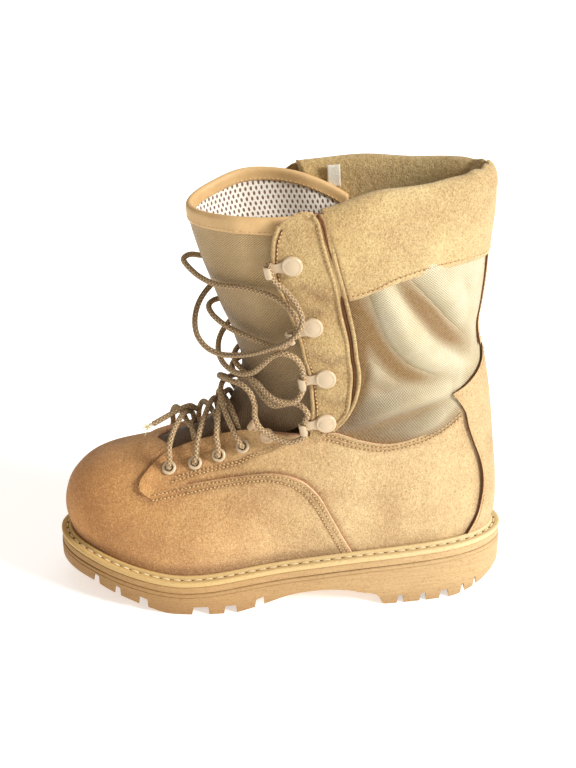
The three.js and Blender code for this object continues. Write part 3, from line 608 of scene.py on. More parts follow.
def woven(name, base, light, shaded, reach):
    """Heavy plain-weave nylon, browner towards the lower front as painted shade."""
    look = Look(name)
    u, v, _ = look.parts(look.flat())
    wave = lambda t: look.math("SINE", look.math("MULTIPLY", t, 2 * math.pi / WEAVE_PITCH))
    over = look.math("MULTIPLY", wave(u), wave(v))
    raised = look.ramp(over, -0.6, 0.8)
    patches = look.noise(30, 3, 0.6)
    body = look.blend(look.ramp(patches, 0.3, 0.7), base, light)
    x, _, z = look.parts(look.place())
    # Painted shade: browner towards the lower front.
    lower = look.ramp(look.math("ADD", look.math("MULTIPLY", x, 0.8), z), *reach, 0.9, 0)
    body = look.blend(lower, body, shaded)
    body = look.blend(look.shade(1), body, rgb(146, 104, 32))
    color = look.blend(look.ramp(raised, 0, 1, 0.6, 0), body, rgb(96, 76, 46), "MULTIPLY")
    uneven = look.noise(900, 2, 0.5)
    color = look.blend(look.ramp(uneven, 0.3, 0.7, 0, 0.12), color, light)
    return look.finish(color, 0.5, Normal=look.bump(over, WEAVE_DEPTH, 0.6), Sheen_Weight=0.1)


def spacer_mesh(name):
    """Pale knitted lining with long dark holes in staggered rows."""
    look = Look(name)
    u, v, _ = look.parts(look.flat())
    row = look.math("DIVIDE", v, 4.2)
    odd = look.math("MODULO", look.math("FLOOR", row), 2.0)
    column = look.math("ADD", look.math("DIVIDE", u, 3.1), look.math("MULTIPLY", odd, 0.5))
    off_u = look.math("MULTIPLY", look.math("SUBTRACT", look.math("FRACT", column), 0.5), 3.1 / 0.72)
    off_v = look.math("MULTIPLY", look.math("SUBTRACT", look.math("FRACT", row), 0.5), 4.2 / 1.7)
    far = look.math("ADD", look.math("MULTIPLY", off_u, off_u), look.math("MULTIPLY", off_v, off_v))
    solid = look.ramp(far, 0.55, 1.25)
    color = look.blend(solid, rgb(128, 100, 82), rgb(246, 238, 226))
    return look.finish(color, 0.8, Normal=look.bump(solid, 0.8, 0.8))


def smooth_leather(name, color, dark):
    look = Look(name)
    pores = look.noise(800, 3, 0.6)
    patches = look.noise(60, 3, 0.6)
    mixed = look.blend(look.ramp(patches, 0.3, 0.75, 0, 0.6), color, dark)
    mixed = look.blend(look.ramp(pores, 0.35, 0.5, 0.25, 0), mixed, dark)
    return look.finish(mixed, look.ramp(pores, 0.3, 0.7, 0.6, 0.45), Normal=look.bump(pores, 0.25, 0.5),
                       Specular_IOR_Level=0.35)


def rubber(name, color, dark, pale, streak=1.0):
    """Moulded and buffed rubber: fine level streaks, painted shade darkening it towards the bottom, and a paler
    heel, partly its own tone and partly painted light.
    """
    look = Look(name)
    place = look.place()
    x, _, z = look.parts(place)
    # Paler towards the heel: partly the rubber's own tone, partly painted light.
    base = look.blend(look.ramp(x, -0.16, 0.14), color, pale)
    streaks = look.noise(1.0, 4, 0.65, look.stretch(place, (55, 55, 1500)))
    base = look.blend(look.ramp(streaks, 0.35, 0.6, 0.5 * streak, 0), base, dark)
    specks = look.noise(700, 2, 0.6)
    base = look.blend(look.ramp(specks, 0.36, 0.46, 0.3, 0), base, dark)
    # Painted shade: darker towards the bottom of the sole, near the floor.
    base = look.blend(look.ramp(z, 0.0, 0.014, 0.35, 0), base, dark)
    height = look.math("ADD", streaks, look.math("MULTIPLY", specks, 0.4))
    return look.finish(base, look.ramp(streaks, 0.3, 0.7, 0.75, 0.55), Normal=look.bump(height, 0.35, 0.6),
                       Specular_IOR_Level=0.4)


def painted_metal(name, color, worn):
    look = Look(name)
    spots = look.noise(260, 4, 0.7)
    mixed = look.blend(look.ramp(spots, 0.58, 0.72, 0, 0.6), color, worn)
    ripple = look.noise(600, 2, 0.5)
    return look.finish(mixed, look.ramp(spots, 0.3, 0.7, 0.3, 0.5), Normal=look.bump(ripple, 0.08, 0.5),
                       Coat_Weight=0.35, Coat_Roughness=0.2)


def braided(name, dark, mid, fleck):
    """Round braid: two families of strands that wind round the lace, with light flecks."""
    look = Look(name)
    along, around, _ = look.parts(look.flat())
    turn = look.math("MULTIPLY", around, 2 * math.pi / 12 * 4)
    run = look.math("MULTIPLY", along, 2 * math.pi / 2.9)
    one = look.math("SINE", look.math("ADD", run, turn))
    two = look.math("SINE", look.math("SUBTRACT", run, turn))
    strands = look.math("MAXIMUM", one, two)
    small = look.noise(1500, 2, 0.6)
    color = look.blend(look.ramp(strands, -0.3, 0.9), dark, mid)
    crossing = look.math("MULTIPLY", one, two)
    color = look.blend(look.ramp(crossing, 0.4, 0.85, 0, 0.6), color, fleck)
    color = look.blend(look.ramp(small, 0.35, 0.5, 0.35, 0), color, dark)
    return look.finish(color, 0.85, Normal=look.bump(strands, 0.55, 0.9))


def fibrous(name, color, dark, scale=1300, spread=0.15, roughness=0.9):
    """Fine fibres in two colours: thread, cloth and the cut edges of leather."""
    look = Look(name)
    fibres = look.noise(scale, 3, 0.7)
    mixed = look.blend(look.ramp(fibres, 0.5 - spread, 0.5 + spread), dark, color)
    return look.finish(mixed, roughness, Normal=look.bump(fibres, 0.4, 0.6))


SUEDE = suede("suede", rgb(208, 138, 60), rgb(218, 190, 140), 0.85, -0.16, 0.04)
SUEDE_FACING = suede("suede_facing", rgb(202, 172, 116), rgb(206, 180, 126), 1.0)
SUEDE_COLLAR = suede("suede_collar", rgb(208, 176, 112), rgb(218, 194, 140), 0.95, -0.02, 0.08)
EDGE_PALE = fibrous("edge_pale", rgb(248, 206, 172), rgb(214, 158, 118), 900, 0.2, 0.95)
# Dark cut edges of the underlay and backstay, and also the dark cords laid in grooves as painted shade.
EDGE_DARK_AND_GROOVE_SHADE = fibrous("edge_dark_and_groove_shade", rgb(124, 76, 42), rgb(78, 46, 24), 900, 0.2, 0.95)
NYLON = woven("nylon_shaft", rgb(218, 202, 160), rgb(240, 230, 198), rgb(112, 76, 26), (0.178, 0.25))
# The tongue's nylon: a darker copy of the shaft's, painted shade where the tongue lies sunk between the
# facings, browner still lower down.
NYLON_TONGUE_SHADED = woven("nylon_tongue", rgb(192, 158, 104), rgb(218, 188, 136), rgb(82, 54, 28), (0.13, 0.235))
MESH_LINING = spacer_mesh("mesh_lining")
BINDING = smooth_leather("binding_leather", rgb(218, 182, 130), rgb(190, 150, 98))
RUBBER = rubber("outsole_rubber", rgb(166, 124, 72), rgb(122, 82, 42), rgb(198, 168, 122), 0.5)
MIDSOLE = rubber("midsole_rubber", rgb(174, 132, 78), rgb(134, 94, 50), rgb(204, 174, 128), 0.5)
WELT = rubber("welt_leather", rgb(204, 168, 104), rgb(174, 130, 72), rgb(220, 198, 150), 0.25)
METAL = painted_metal("painted_metal", rgb(204, 182, 150), rgb(160, 126, 88))
# A darker copy of the painted metal for the lowest hook, off the facings: painted shade.
METAL_SHADED = painted_metal("painted_metal_shaded", rgb(206, 176, 138), rgb(150, 116, 78))
# Dark beads between stitches: painted shade in the needle holes along the stitch lines.
STITCH_HOLE_SHADE = fibrous("stitch_hole_shade", rgb(150, 110, 66), rgb(112, 78, 46))
LACE = braided("lace_braid", rgb(126, 94, 60), rgb(194, 162, 118), rgb(244, 230, 202))
THREAD = fibrous("thread", rgb(236, 204, 152), rgb(176, 132, 84))
THREAD_PALE = fibrous("thread_pale", rgb(250, 236, 200), rgb(214, 190, 140))
INSOLE = fibrous("insole_cloth", rgb(150, 122, 82), rgb(112, 88, 56))
TAB = fibrous("tab_cloth", rgb(246, 240, 226), rgb(214, 204, 184))

# ---------------------------------------------------------------- laces
LACE_WIDTH, LACE_SIDES = 3.8, 14
CROSSING_LIFT, BAR_DROP = 1.9, 4     # how far crossing strands part, and the bar lies under the first eyelets
EYELETS = [(131, 4.4), (124.5, 4.7), (122, 5.3), (122.5, 6.2)]
LAID = 0.6           # how proud of the last an eyelet's or a hook's foot stands
HOOK_CURLS = [(-6.3, -49.9, 251.3), (7.9, -48.3, 205.3), (15.5, -46.4, 171.5), (16.1, -44.8, 137.4)]
# Free stretches from hook to hook, as in the part.
LACE_A = [
    [(-27, 32, 122), (-30, 31, 131), (-35, 25, 142), (-40, 14, 150), (-41, 2, 155), (-38, -10, 159),
     (-33, -21, 162), (-26, -29, 163), (-20, -34, 159), (-17, -36, 151), (-17, -37, 143), (-14, -39, 136),
     (-8, -40, 131), (-1, -42, 128), (6, -44, 127), (12, -45, 129), (16, -45, 132)],
    [(16, -45, 143), (18, -46, 148), (15, -45, 153), (9, -40, 154), (2, -36, 151), (-5, -33, 149),
     (-11, -29, 153), (-17, -23, 160), (-24, -15, 166), (-30, -5, 169), (-30, 7, 171), (-25, 20, 171),
     (-14, 33, 168), (-2, 42, 164), (7, 46, 162), (13, 47, 164)],
    [(15, 46, 177), (12, 46, 184), (5, 45, 190), (-6, 41, 194), (-19, 35, 198), (-33, 25, 203),
     (-43, 12, 207), (-47, -1, 208), (-44, -12, 206), (-36, -20, 202), (-26, -27, 199), (-14, -36, 197),
     (-4, -44, 197), (3, -48, 199)],
    [(11, -49, 211), (11, -50, 218), (6, -49, 225), (-2, -46, 231), (-12, -42, 234), (-25, -36, 235),
     (-40, -26, 233), (-52, -14, 234), (-60, -5, 238), (-63, 3, 240), (-59, 11, 240), (-51, 19, 236),
     (-41, 28, 231), (-29, 36, 229), (-18, 43, 233), (-11, 48, 241), (-8, 50, 246)],
]
LACE_B = [
    [(-28, -32, 122), (-32, -28, 129), (-36, -22, 136), (-39, -14, 143), (-40, -3, 149), (-37, 8, 150),
     (-31, 18, 148), (-23, 28, 144), (-13, 36, 138), (-3, 42, 132), (7, 45, 128), (13, 46, 129),
     (16, 45, 132)],
    [(15, 45, 143), (13, 44, 149), (6, 42, 154), (-5, 37, 158), (-17, 29, 161), (-27, 17, 162),
     (-32, 4, 163), (-31, -8, 163), (-27, -18, 164), (-21, -26, 166), (-15, -32, 165), (-10, -37, 161),
     (-4, -42, 158), (3, -45, 157), (10, -47, 159), (14, -47, 165)],
    [(15, -47, 177), (14, -47, 183), (10, -48, 190), (3, -47, 193), (-4, -43, 190), (-11, -39, 182),
     (-18, -34, 174), (-27, -27, 170), (-36, -17, 171), (-41, -4, 175), (-40, 11, 181), (-32, 26, 187),
     (-20, 38, 190), (-7, 46, 194), (2, 49, 199)],
    [(9, 48, 211), (6, 48, 217), (-2, 46, 222), (-14, 42, 223), (-30, 33, 221), (-43, 20, 217),
     (-52, 6, 211), (-56, -6, 203), (-55, -15, 194), (-49, -21, 187), (-40, -26, 184), (-29, -33, 186),
     (-17, -41, 191), (-6, -49, 198), (3, -55, 204), (11, -58, 212), (14, -57, 221), (10, -54, 231),
     (3, -51, 239), (-4, -50, 245)],
]
LACE_TIP = [(-57, 10, 126), (-62, 5, 131), (-70, 0, 130), (-79, -3, 126), (-87, -5, 122)]
# Strands that leave an outer eyelet and cross to the inner side; their twins are mirror images.
CROSSINGS = [
    [(-75, -30, 107), (-75, -27, 116), (-72, -18, 124), (-67, -6, 127), (-63, 5, 125), (-60, 11, 121.5)],
    [(-57, -30, 110), (-56, -27, 119), (-53, -18, 128), (-49, -6, 133), (-46, 5, 134), (-44, 12, 132)],
    [(-42, -31, 116), (-43, -29, 125), (-42, -22, 134), (-40, -9, 141), (-36, 4, 141), (-33, 13, 137)],
]


def flip(points):
    return [(x, -y, z) for x, y, z in points]


def eyelet_place(hand, i):
    angle, level = EYELETS[i]
    return wrap(hand * angle, level, LAID + 1.2), outward(hand * angle, level)


def through_eyelet(hand, i):
    """From under the eyestay up through its eyelet."""
    at, out = eyelet_place(hand, i)
    inwards = np.array([0, hand * 1.0, 0])
    return [at - out * 7 + inwards * 7, at - out * 5.5 + inwards * 1.5, at - out * 1, at + out * 2]


def lace_tube(points):
    line = smooth_line(points, 1.0)
    return line, tube_parts(line, LACE_WIDTH / 2, LACE_SIDES)


def loose(piece, line, digits, far_end, **more):
    """Rounds the length of a free stretch of lace along a line, and keeps nothing of it."""
    round(float(run(line)[-1] * MM), digits)


def free_lace(name, hand, stretches, curls, top, nodes):
    """One free half of the lace: out of the last eyelet, then from hook to hook, ending in the top one."""
    points = through_eyelet(hand, 3)[2:]
    for stretch, curl in zip(stretches, curls):
        points += [*stretch, curl]
    line, tube = lace_tube([*points, top])
    piece = joined(name, [tube], "lace", LACE)
    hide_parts(*nodes)
    loose(piece, line, 2, "object")


def low_lacing():
    """The criss-cross through the three lowest rows of eyelets, with a bar under the first."""
    parts = []
    for hand in (1, -1):
        points = []
        for i, near in enumerate(CROSSINGS):
            side = hand if i % 2 == 0 else -hand
            strand = near if side > 0 else flip(near)
            lift = side * CROSSING_LIFT
            lifted = [(x, y, z + (lift if k in (3, 4) else 0)) for k, (x, y, z) in enumerate(strand)]
            if i == 0:
                at, _ = eyelet_place(side, 0)
                points += [(at[0], 0, at[2] - BAR_DROP)]
            points += [*through_eyelet(side, i), *lifted]
        points += through_eyelet(-side, 3)[:3]
        parts.append(lace_tube(points)[1])
    piece = joined("lace_low", parts, "lace", LACE)
    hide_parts("lace_crossing_1", "lace_crossing_2")


def make_laces():
    n1, n2, n3, n4 = HOOK_CURLS
    f1, f2, f3, f4 = flip(HOOK_CURLS)
    free_lace("lace_inner_half", -1, LACE_A, [n4, f3, n2, f1], (-5.5, 50.8, 257),
              ["lace_a1", "lace_a2", "lace_a3", "lace_a4"])
    free_lace("lace_outer_half", 1, LACE_B, [f4, n3, f2, n1], (-7, -50.4, 257),
              ["lace_b1", "lace_b2", "lace_b3", "lace_b4"])
    line, tube = lace_tube(LACE_TIP)
    tip = joined("lace_tip", [tube], "lace", LACE)
    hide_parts("lace_end")
    frays = []
    rng = np.random.default_rng(7)
    for _ in range(16):
        start = line[-1] + rng.normal(0, 0.9, 3)
        away = unit(line[-1] - line[-6] + rng.normal(0, 0.7, 3))
        bend = rng.normal(0, 1.4, 3)
        threads = np.array([start - away * 2, start + away * 2 + bend * 0.3, start + away * 5 + bend])
        frays.append(tube_parts(smooth_line(threads, 0.8), 0.22, 5))
    fray = joined("lace_fray", frays, "lace", THREAD_PALE)
    loose(tip, line, 3, "bare", with_pieces=[fray])
    low_lacing()


make_laces()

# ---------------------------------------------------------------- sole
UNDERSIDE = np.array([
    (-170, 27), (-155, 20), (-131, 15.5), (-118, 11), (-104, 7), (-91, 3.2), (-76, 0), (-34, 0), (-20, 3),
    (-8, 7), (3, 11), (14, 13.4), (28, 14.6), (43, 13.8), (56, 10.6), (67, 7.4), (71, 0), (119, 0),
    (128, 2), (137, 5), (148, 11), (170, 25),
], float)
TREAD_SLOTS = [
    (-131, -126), (-116, -111), (-99, -92), (-62, -50), (-40, -31), (-19, -12), (80, 85), (96, 101),
    (110, 117), (125, 128.5), (134, 137),
]
TREAD_FIELDS = [(-134, -14), (84, 124)]
CENTRE_BARS = [(-121, 9), (-104, 15), (-84, 18), (-69, 19), (-55, 19), (-36, 17), (94, 8), (110, 8)]
LUG_DEPTH, SIDE_LUG, CENTRE_BAR = 6, 17, 8
SOLE_STEPS = 264
ROUND = np.linspace(0, 360, SOLE_STEPS, endpoint=False)


def underside(x):
    return np.maximum(read(UNDERSIDE, x), 0)


def ring_at(reach, height):
    p = footprint(ROUND, np.full(SOLE_STEPS, float(reach)))
    p[:, 2] = height(p[:, 0])
    return p


def temporary(name, points, faces):
    mesh = face_out(mesh_of(name, points, faces))
    piece = bpy.data.objects.new(name, mesh)
    bpy.context.scene.collection.objects.link(piece)
    return piece


def prism_points(outline_points, low, high, sideways):
    """An outline pushed through the sole: side outlines along Y, plan outlines along Z."""
    place = (lambda a, b, c: (a, c, b)) if sideways else (lambda a, b, c: (a, b, c))
    n = len(outline_points)
    points = [place(a, b, c) for c in (low, high) for a, b in outline_points]
    faces = [tuple(range(n)), tuple(range(2 * n - 1, n - 1, -1))]
    faces += [(i, (i + 1) % n, n + (i + 1) % n, n + i) for i in range(n)]
    return points, faces


def many_prisms(name, outlines, low, high, sideways):
    points, faces = [], []
    for shape in outlines:
        p, f = prism_points(shape, low, high, sideways)
        faces += [tuple(i + len(points) for i in face) for face in f]
        points += p
    return temporary(name, points, faces)


def carve(piece, cutter, operation="DIFFERENCE"):
    cut = piece.modifiers.new("cut", "BOOLEAN")
    cut.operation, cut.solver, cut.object = operation, "EXACT", cutter
    dg = bpy.context.evaluated_depsgraph_get()
    made = bpy.data.meshes.new_from_object(piece.evaluated_get(dg))
    piece.modifiers.clear()
    piece.data = made
    bpy.data.objects.remove(cutter)


def stack(reaches_and_heights):
    rows = [ring_at(reach, height) for reach, height in reaches_and_heights]
    faces = grid_faces(len(rows), SOLE_STEPS, False, True)
    last = (len(rows) - 1) * SOLE_STEPS
    faces += [tuple(range(SOLE_STEPS)), tuple(range(last, last + SOLE_STEPS))[::-1]]
    return np.concatenate(rows), faces


def make_outsole():
    top = lambda x: welt_top(x) - WELT_THICK - MIDSOLE_THICK - 2 * GAP
    below = lambda drop: (lambda x: top(x) - drop)
    side = [(0.5, top), (0, below(0.5)), (0, below(2.4)), (0.55, below(2.75)), (0, below(3.1)),
            (0, below(5.5)), (0.9, lambda x: 0 * x - 2)]
    sole = temporary("outsole_blank", *stack([(WELT_REACH - back, height) for back, height in side]))
    xs = np.linspace(-170, 170, 171)
    under = [(-170, -12), *zip(xs, underside(xs) - 1e-3), (170, -12)]
    carve(sole, many_prisms("under", [under], -90, 90, True))
    plate = lambda reach: stack([(reach, lambda x: 0 * x + 90), (reach, lambda x: 0 * x - 10)])
    slots = []
    for low, high in TREAD_SLOTS:
        roof_low, roof_high = underside(low) + LUG_DEPTH, underside(high) + LUG_DEPTH
        slots.append([(low - 0.8, -6), (high + 0.5, -6), (high - 0.5, roof_high), (low + 1.4, roof_low)])
    cutter = many_prisms("slots", slots, -90, 90, True)
    carve(cutter, temporary("inner_plate", *plate(WELT_REACH - SIDE_LUG)))
    carve(sole, cutter)
    fields = []
    for low, high in TREAD_FIELDS:
        roof = [(x, underside(x) + LUG_DEPTH - 1) for x in np.linspace(high, low, 24)]
        fields.append([(low, -6), (high, -6), *roof])
    cutter = many_prisms("fields", fields, -90, 90, True)
    carve(cutter, temporary("inner_plate", *plate(WELT_REACH - SIDE_LUG + 0.2)), "INTERSECT")
    half = CENTRE_BAR / 2
    bars = [[(x - half, -w), (x + half, -w), (x + half, w), (x - half, w)] for x, w in CENTRE_BARS]
    carve(cutter, many_prisms("bars", bars, -20, 90, False))
    carve(sole, cutter)
    mesh = sole.data
    bpy.data.objects.remove(sole)
    mesh.name = "outsole_lugged"
    mesh.materials.clear()
    piece = link("outsole_lugged", mesh, "rubber", RUBBER)
    rounded(piece, 0.7, 32)
    piece.modifiers["rounded"].use_clamp_overlap = True
    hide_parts("outsole")


def make_midsole():
    top = lambda x: welt_top(x) - WELT_THICK - GAP
    level = lambda drop: (lambda x: top(x) - drop)
    full = WELT_REACH - 0.35
    rows = [(full - 0.6, level(0)), (full - 0.1, level(0.25)), (full, level(0.8)), (full - 0.1, level(2.5)),
            (full, level(4.2)), (full - 0.2, level(4.7)), (full - 0.7, level(5.0))]
    piece = loft("midsole_layer", [ring_at(r, h) for r, h in rows], "midsole", MIDSOLE)
    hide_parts("midsole")


WELT_SECTION = [  # reach, height over the welt's top: rib, stitched channel, shelf, side, underside
    (-2.6, -0.4), (-2.2, 0), (-0.6, 0.2), (0.4, 0.9), (1.2, 1.75), (2.1, 2.0), (2.9, 1.7), (3.4, 0.9),
    (3.7, -0.1), (4.1, -0.55), (4.9, -0.6), (5.3, -0.1), (5.9, 0.05), (7.2, 0), (8.1, -0.12), (8.5, -0.6),
    (8.55, -1.9), (8.4, -3.1), (8.0, -3.75), (6.5, -3.8), (-2.2, -3.8), (-2.6, -3.4),
]
WELT_SEAM_REACH, WELT_PITCH = 4.5, 7.4


def make_welt():
    rows = [ring_at(reach, lambda x, up=up: welt_top(x) + up) for reach, up in WELT_SECTION]
    piece = loft("welt_storm", rows, "welt", WELT, closed=True)
    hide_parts("welt")
    line = footprint(np.linspace(0, 360, 1200), WELT_SEAM_REACH)
    line[:, 2] = welt_top(line[:, 0]) - 0.35
    up = np.tile([(0, 0, 1.0)], (len(line), 1))
    joined("welt_stitches", stitches(line, up, WELT_PITCH, 0.8, 1.15, 1.0), "thread", THREAD_PALE)
    holes = line + (0, 0, 0.05)
    along = run(line)
    count = int(along[-1] // WELT_PITCH)
    at = np.arange(count) * along[-1] / count
    middle, ahead = at_run(at, along, holes), at_run(at + 1, along, holes)
    # Dark beads between the welt's stitches: painted shade in the stitch channel.
    dots = [bead(m, unit(a - m), up[0], 1.9, 1.5, 0.5) for m, a in zip(middle, ahead)]
    joined("welt_stitch_hole_shade", dots, "thread", STITCH_HOLE_SHADE)


def make_insole():
    top = lambda x: welt_top(x) + 2
    cup = lambda lift: (lambda x: top(x) + lift * ease(40, 110, x))
    rows = [(-3.4, lambda x: welt_top(x) - 3.6), (-3.4, cup(2.2)), (-4.4, cup(1.6)), (-7, cup(0.4)),
            (-11, cup(0))]
    piece = loft("insole_sheet", [ring_at(r, h) for r, h in rows], "insole", INSOLE)
    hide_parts("insole")


make_outsole()
make_midsole()
make_welt()
make_insole()

# ---------------------------------------------------------------- upper: vamp and quarters
VAMP_SEAM = [(70.5, 0.0), (76, 1.95), (81, 3.2), (88, 4.05), (97, 4.4), (106, 4.2), (119, 3.8), (129, 3.45)]
THROAT_EDGE = [(140.8, 4.95), (142.6, 5.5), (144.6, 6.05), (141.5, 6.85)]
THROAT_TOP = [(141.5, 6.85), (135, 7.25), (127, 7.35), (118, 7.3), (110, 7.2), (101, 7.15)]
QUARTER_TOP = [(101, 7.15), (94.5, 7.2), (80, 6.45), (68, 6), (57.5, 6.2), (48.5, 6.6), (38, 7.3),
               (22, 8.2), (0, 8.6)]
SECOND_ROW = [(126, 3.95), (119, 4.35), (114, 4.65), (111, 4.95), (112, 5.6), (111.8, 6.2), (110.5, 6.7),
              (106, 7.0)]


# How far each row of stitches lies from its seam.
VAMP_ROWS, QUARTER_ROWS, SECOND_ROWS = (1.9, 4.9), (2.8, 6.0), (-1.5, 1.5)
FACING_ROW, FACING_REAR_ROW, BACKSTAY_ROW = 4.2, 2.6, 3.0
SUNK = 0.55           # how deep a row of stitches pulls the leather in

BACKSTAY = np.array([  # level, front
    (0, 29), (1.5, 22.5), (2.6, 20), (3.95, 22), (6.1, 31), (7.2, 35), (8.35, 44)])


def waves(points, size, seed):
    """Slow, shallow unevenness over a sheet."""
    rng = np.random.default_rng(seed)
    total = np.zeros(len(points))
    for _ in range(7):
        way = unit(rng.normal(0, 1, 3))
        total += np.sin(points @ way * 2 * np.pi / rng.uniform(35, 90) + rng.uniform(0, 6.3))
    return total * size / 3


EYELET_HOLE, EYELET_FLAT = 3.3, 6.5     # radii: of the hole, and of the leather pressed flat round it


def eyelet_holes(hand):
    turn = np.linspace(0, 2 * np.pi, 20, endpoint=False)
    rings = []
    for angle, level in EYELETS:
        centre = np.array((hand * angle, level))
        step_a = np.linalg.norm(skin(hand * angle + 1, level) - skin(hand * angle - 1, level)) / 2
        step_l = np.linalg.norm(skin(hand * angle, level + 0.1) - skin(hand * angle, level - 0.1)) / 0.2
        ring = centre + np.stack([np.cos(turn) * EYELET_HOLE / step_a, np.sin(turn) * EYELET_HOLE / step_l], 1)
        rings.append(ring * FLAT)
    return rings


def make_vamp():
    near = VAMP_SEAM + [(132.5, 3.75), (134, 4.4)]
    far = [(360 - a, level) for a, level in near]
    middle = [(134, 4.4), (139, 5.0), (148, 5.5), (162, 5.75), (180, 5.8), (198, 5.75), (212, 5.5),
              (221, 5.0), (226, 4.4)]
    bottom = [(289.5, 0.0), (180, 0.0), (70.5, 0.0)]
    loop = outline(near, middle, far[::-1], bottom)
    seams = [laid(line[:7]) for line in (near, far)]
    seam_ends = len(VAMP_SEAM)
    rows = [laid(beside(line[:seam_ends], side * by)) for line, side in ((near, -1), (far, 1))
            for by in VAMP_ROWS]

    def outer(angle, level, on):
        lift = np.zeros(len(on))
        for seam in seams:
            far_off, _ = near_line(on, seam)
            lift = np.maximum(lift, 1.5 * np.exp(-((far_off / 13) ** 2)))
        return lift - SUNK * grooves(on, rows) + waves(on, 0.35, 3) * ease(0.4, 1.5, level)

    corners = [laid(mirror([(130, 3.1), (134.4, 3.35), (137, 3.75), (138, 4.15), (139.4, 4.55)], hand))
               for hand in (1, -1)]
    toe_foot = laid([(75, 0.3), (120, 0.3), (180, 0.3), (240, 0.3), (285, 0.3)])
    piece = panel("vamp", loop, outer, -WALL, "suede", SUEDE, EDGE_PALE,
                  shade=lambda a, l, on: (grooves(on, rows, 1.5) * 0.55
                                          + 0.5 * grooves(on, [toe_foot, *corners], 4)))
    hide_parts("upper")


def quarter(hand):
    name = "quarter_lateral" if hand > 0 else "quarter_medial"
    under_vamp = [(78, 0.0), (84, 1.9), (89, 3.0), (97, 3.7), (106, 3.6), (119, 3.15), (127, 3.05)]
    front = [(127, 3.1), (131, 3.25), (134.2, 3.45), (136.3, 3.78), (137.3, 4.15), (138.8, 4.55),
             *THROAT_EDGE]
    loop = outline(under_vamp, front, THROAT_TOP, QUARTER_TOP, [(0, 8.6), (0, 4), (0, 0)],
                   [(0, 0), (40, 0), (78, 0)], hand=hand)
    top = laid(mirror(QUARTER_TOP[:7], hand))
    free = laid(mirror(front[2:] + THROAT_TOP[1:], hand))
    seam = laid(mirror(VAMP_SEAM[:7], hand))
    rows = [laid(beside(mirror(QUARTER_TOP[:7], hand), hand * by)) for by in QUARTER_ROWS]
    rows += [laid(beside(mirror(SECOND_ROW, hand), hand * by)) for by in SECOND_ROWS]
    stay = laid(mirror([(44, 8.2), *[(f - 1, level) for level, f in BACKSTAY[::-1]]], hand))
    eyelets = [wrap(hand * a, level) for a, level in EYELETS]

    def outer(angle, level, on):
        lift = 1.1 * np.exp(-((near_line(on, top)[0] / 9) ** 2))
        lift = np.maximum(lift, 2.4 * np.exp(-((near_line(on, free)[0] / 7) ** 2)))
        lift -= 1.0 * np.exp(-((near_line(on, seam)[0] / 3.5) ** 2))
        lift -= SUNK * grooves(on, rows)
        for at in eyelets:
            ring = np.linalg.norm(on - at, axis=1)
            lift = np.where(ring < EYELET_FLAT, np.minimum(lift, 0.9), lift)
        return lift + waves(on, 0.5, 5 if hand > 0 else 6)

    def shade(angle, level, on):
        return grooves(on, rows, 1.5) * 0.5 + 0.8 * grooves(on, [seam], 2.2) + 0.45 * grooves(on, [stay], 5)

    panel(name, loop, outer, -WALL, "suede", SUEDE, EDGE_PALE, eyelet_holes(hand), shade=shade)


make_vamp()
quarter(1)
quarter(-1)

# ---------------------------------------------------------------- nylon shaft
SHAFT_FOLDS = [  # width, height, line: ridges are positive
    (8.5, -8.0, [(73, 14.0), (67.5, 13.1), (55, 12.1), (44, 11.2), (30, 10.5), (18, 10.1)]),
    (10.0, 4.4, [(58, 14.0), (49.5, 12.9), (38, 12.2), (22, 11.6)]),
    (9.0, 5.0, [(76, 13.8), (72.5, 12.6), (66, 11.4), (57, 10.5), (47, 9.9), (36, 9.6)]),
    (8.0, -7.0, [(86, 13.6), (84, 12.3), (80, 11.1), (72.5, 10.0), (60.5, 9.4), (46, 9.2), (36, 9.1)]),
    (8.0, 5.5, [(95, 7.4), (86.5, 7.8), (76.5, 8.4), (66, 8.65), (54, 8.75), (42, 8.8)]),
    (5.5, -4.0, [(92, 7.2), (81.5, 7.35), (65, 7.6), (50, 8.0), (42, 8.2)]),
    (5.5, -3.0, [(92, 13.2), (90, 12), (89.5, 10.6), (92, 9.2), (95, 8.2)]),
    (5.0, -2.2, [(88, 9.6), (80, 9.2), (70, 9.0)]),
    (6.0, 2.4, [(66, 6.5), (55, 6.9), (46, 7.5)]),
    (5.0, -1.8, [(36, 13.2), (30, 12.4), (27, 11.2)]),
]


def cloth_places(angle, level):
    """Rough arc lengths round and up the shaft, in millimetres, for the weave."""
    table = np.linspace(-180, 180, 361)
    ring = skin(table, 11.0)
    return np.stack([np.interp(angle, table, run(ring)), skin(70.0, level)[..., 2] * 1.03], -1)


UNDERLAY_REAR = [(99, 6.95), (96, 7.5), (94, 8.25), (92.4, 9.2), (90.8, 10.3), (89.7, 11.5), (91.2, 12.9),
                 (93.6, 14.55), (97, 15.95)]


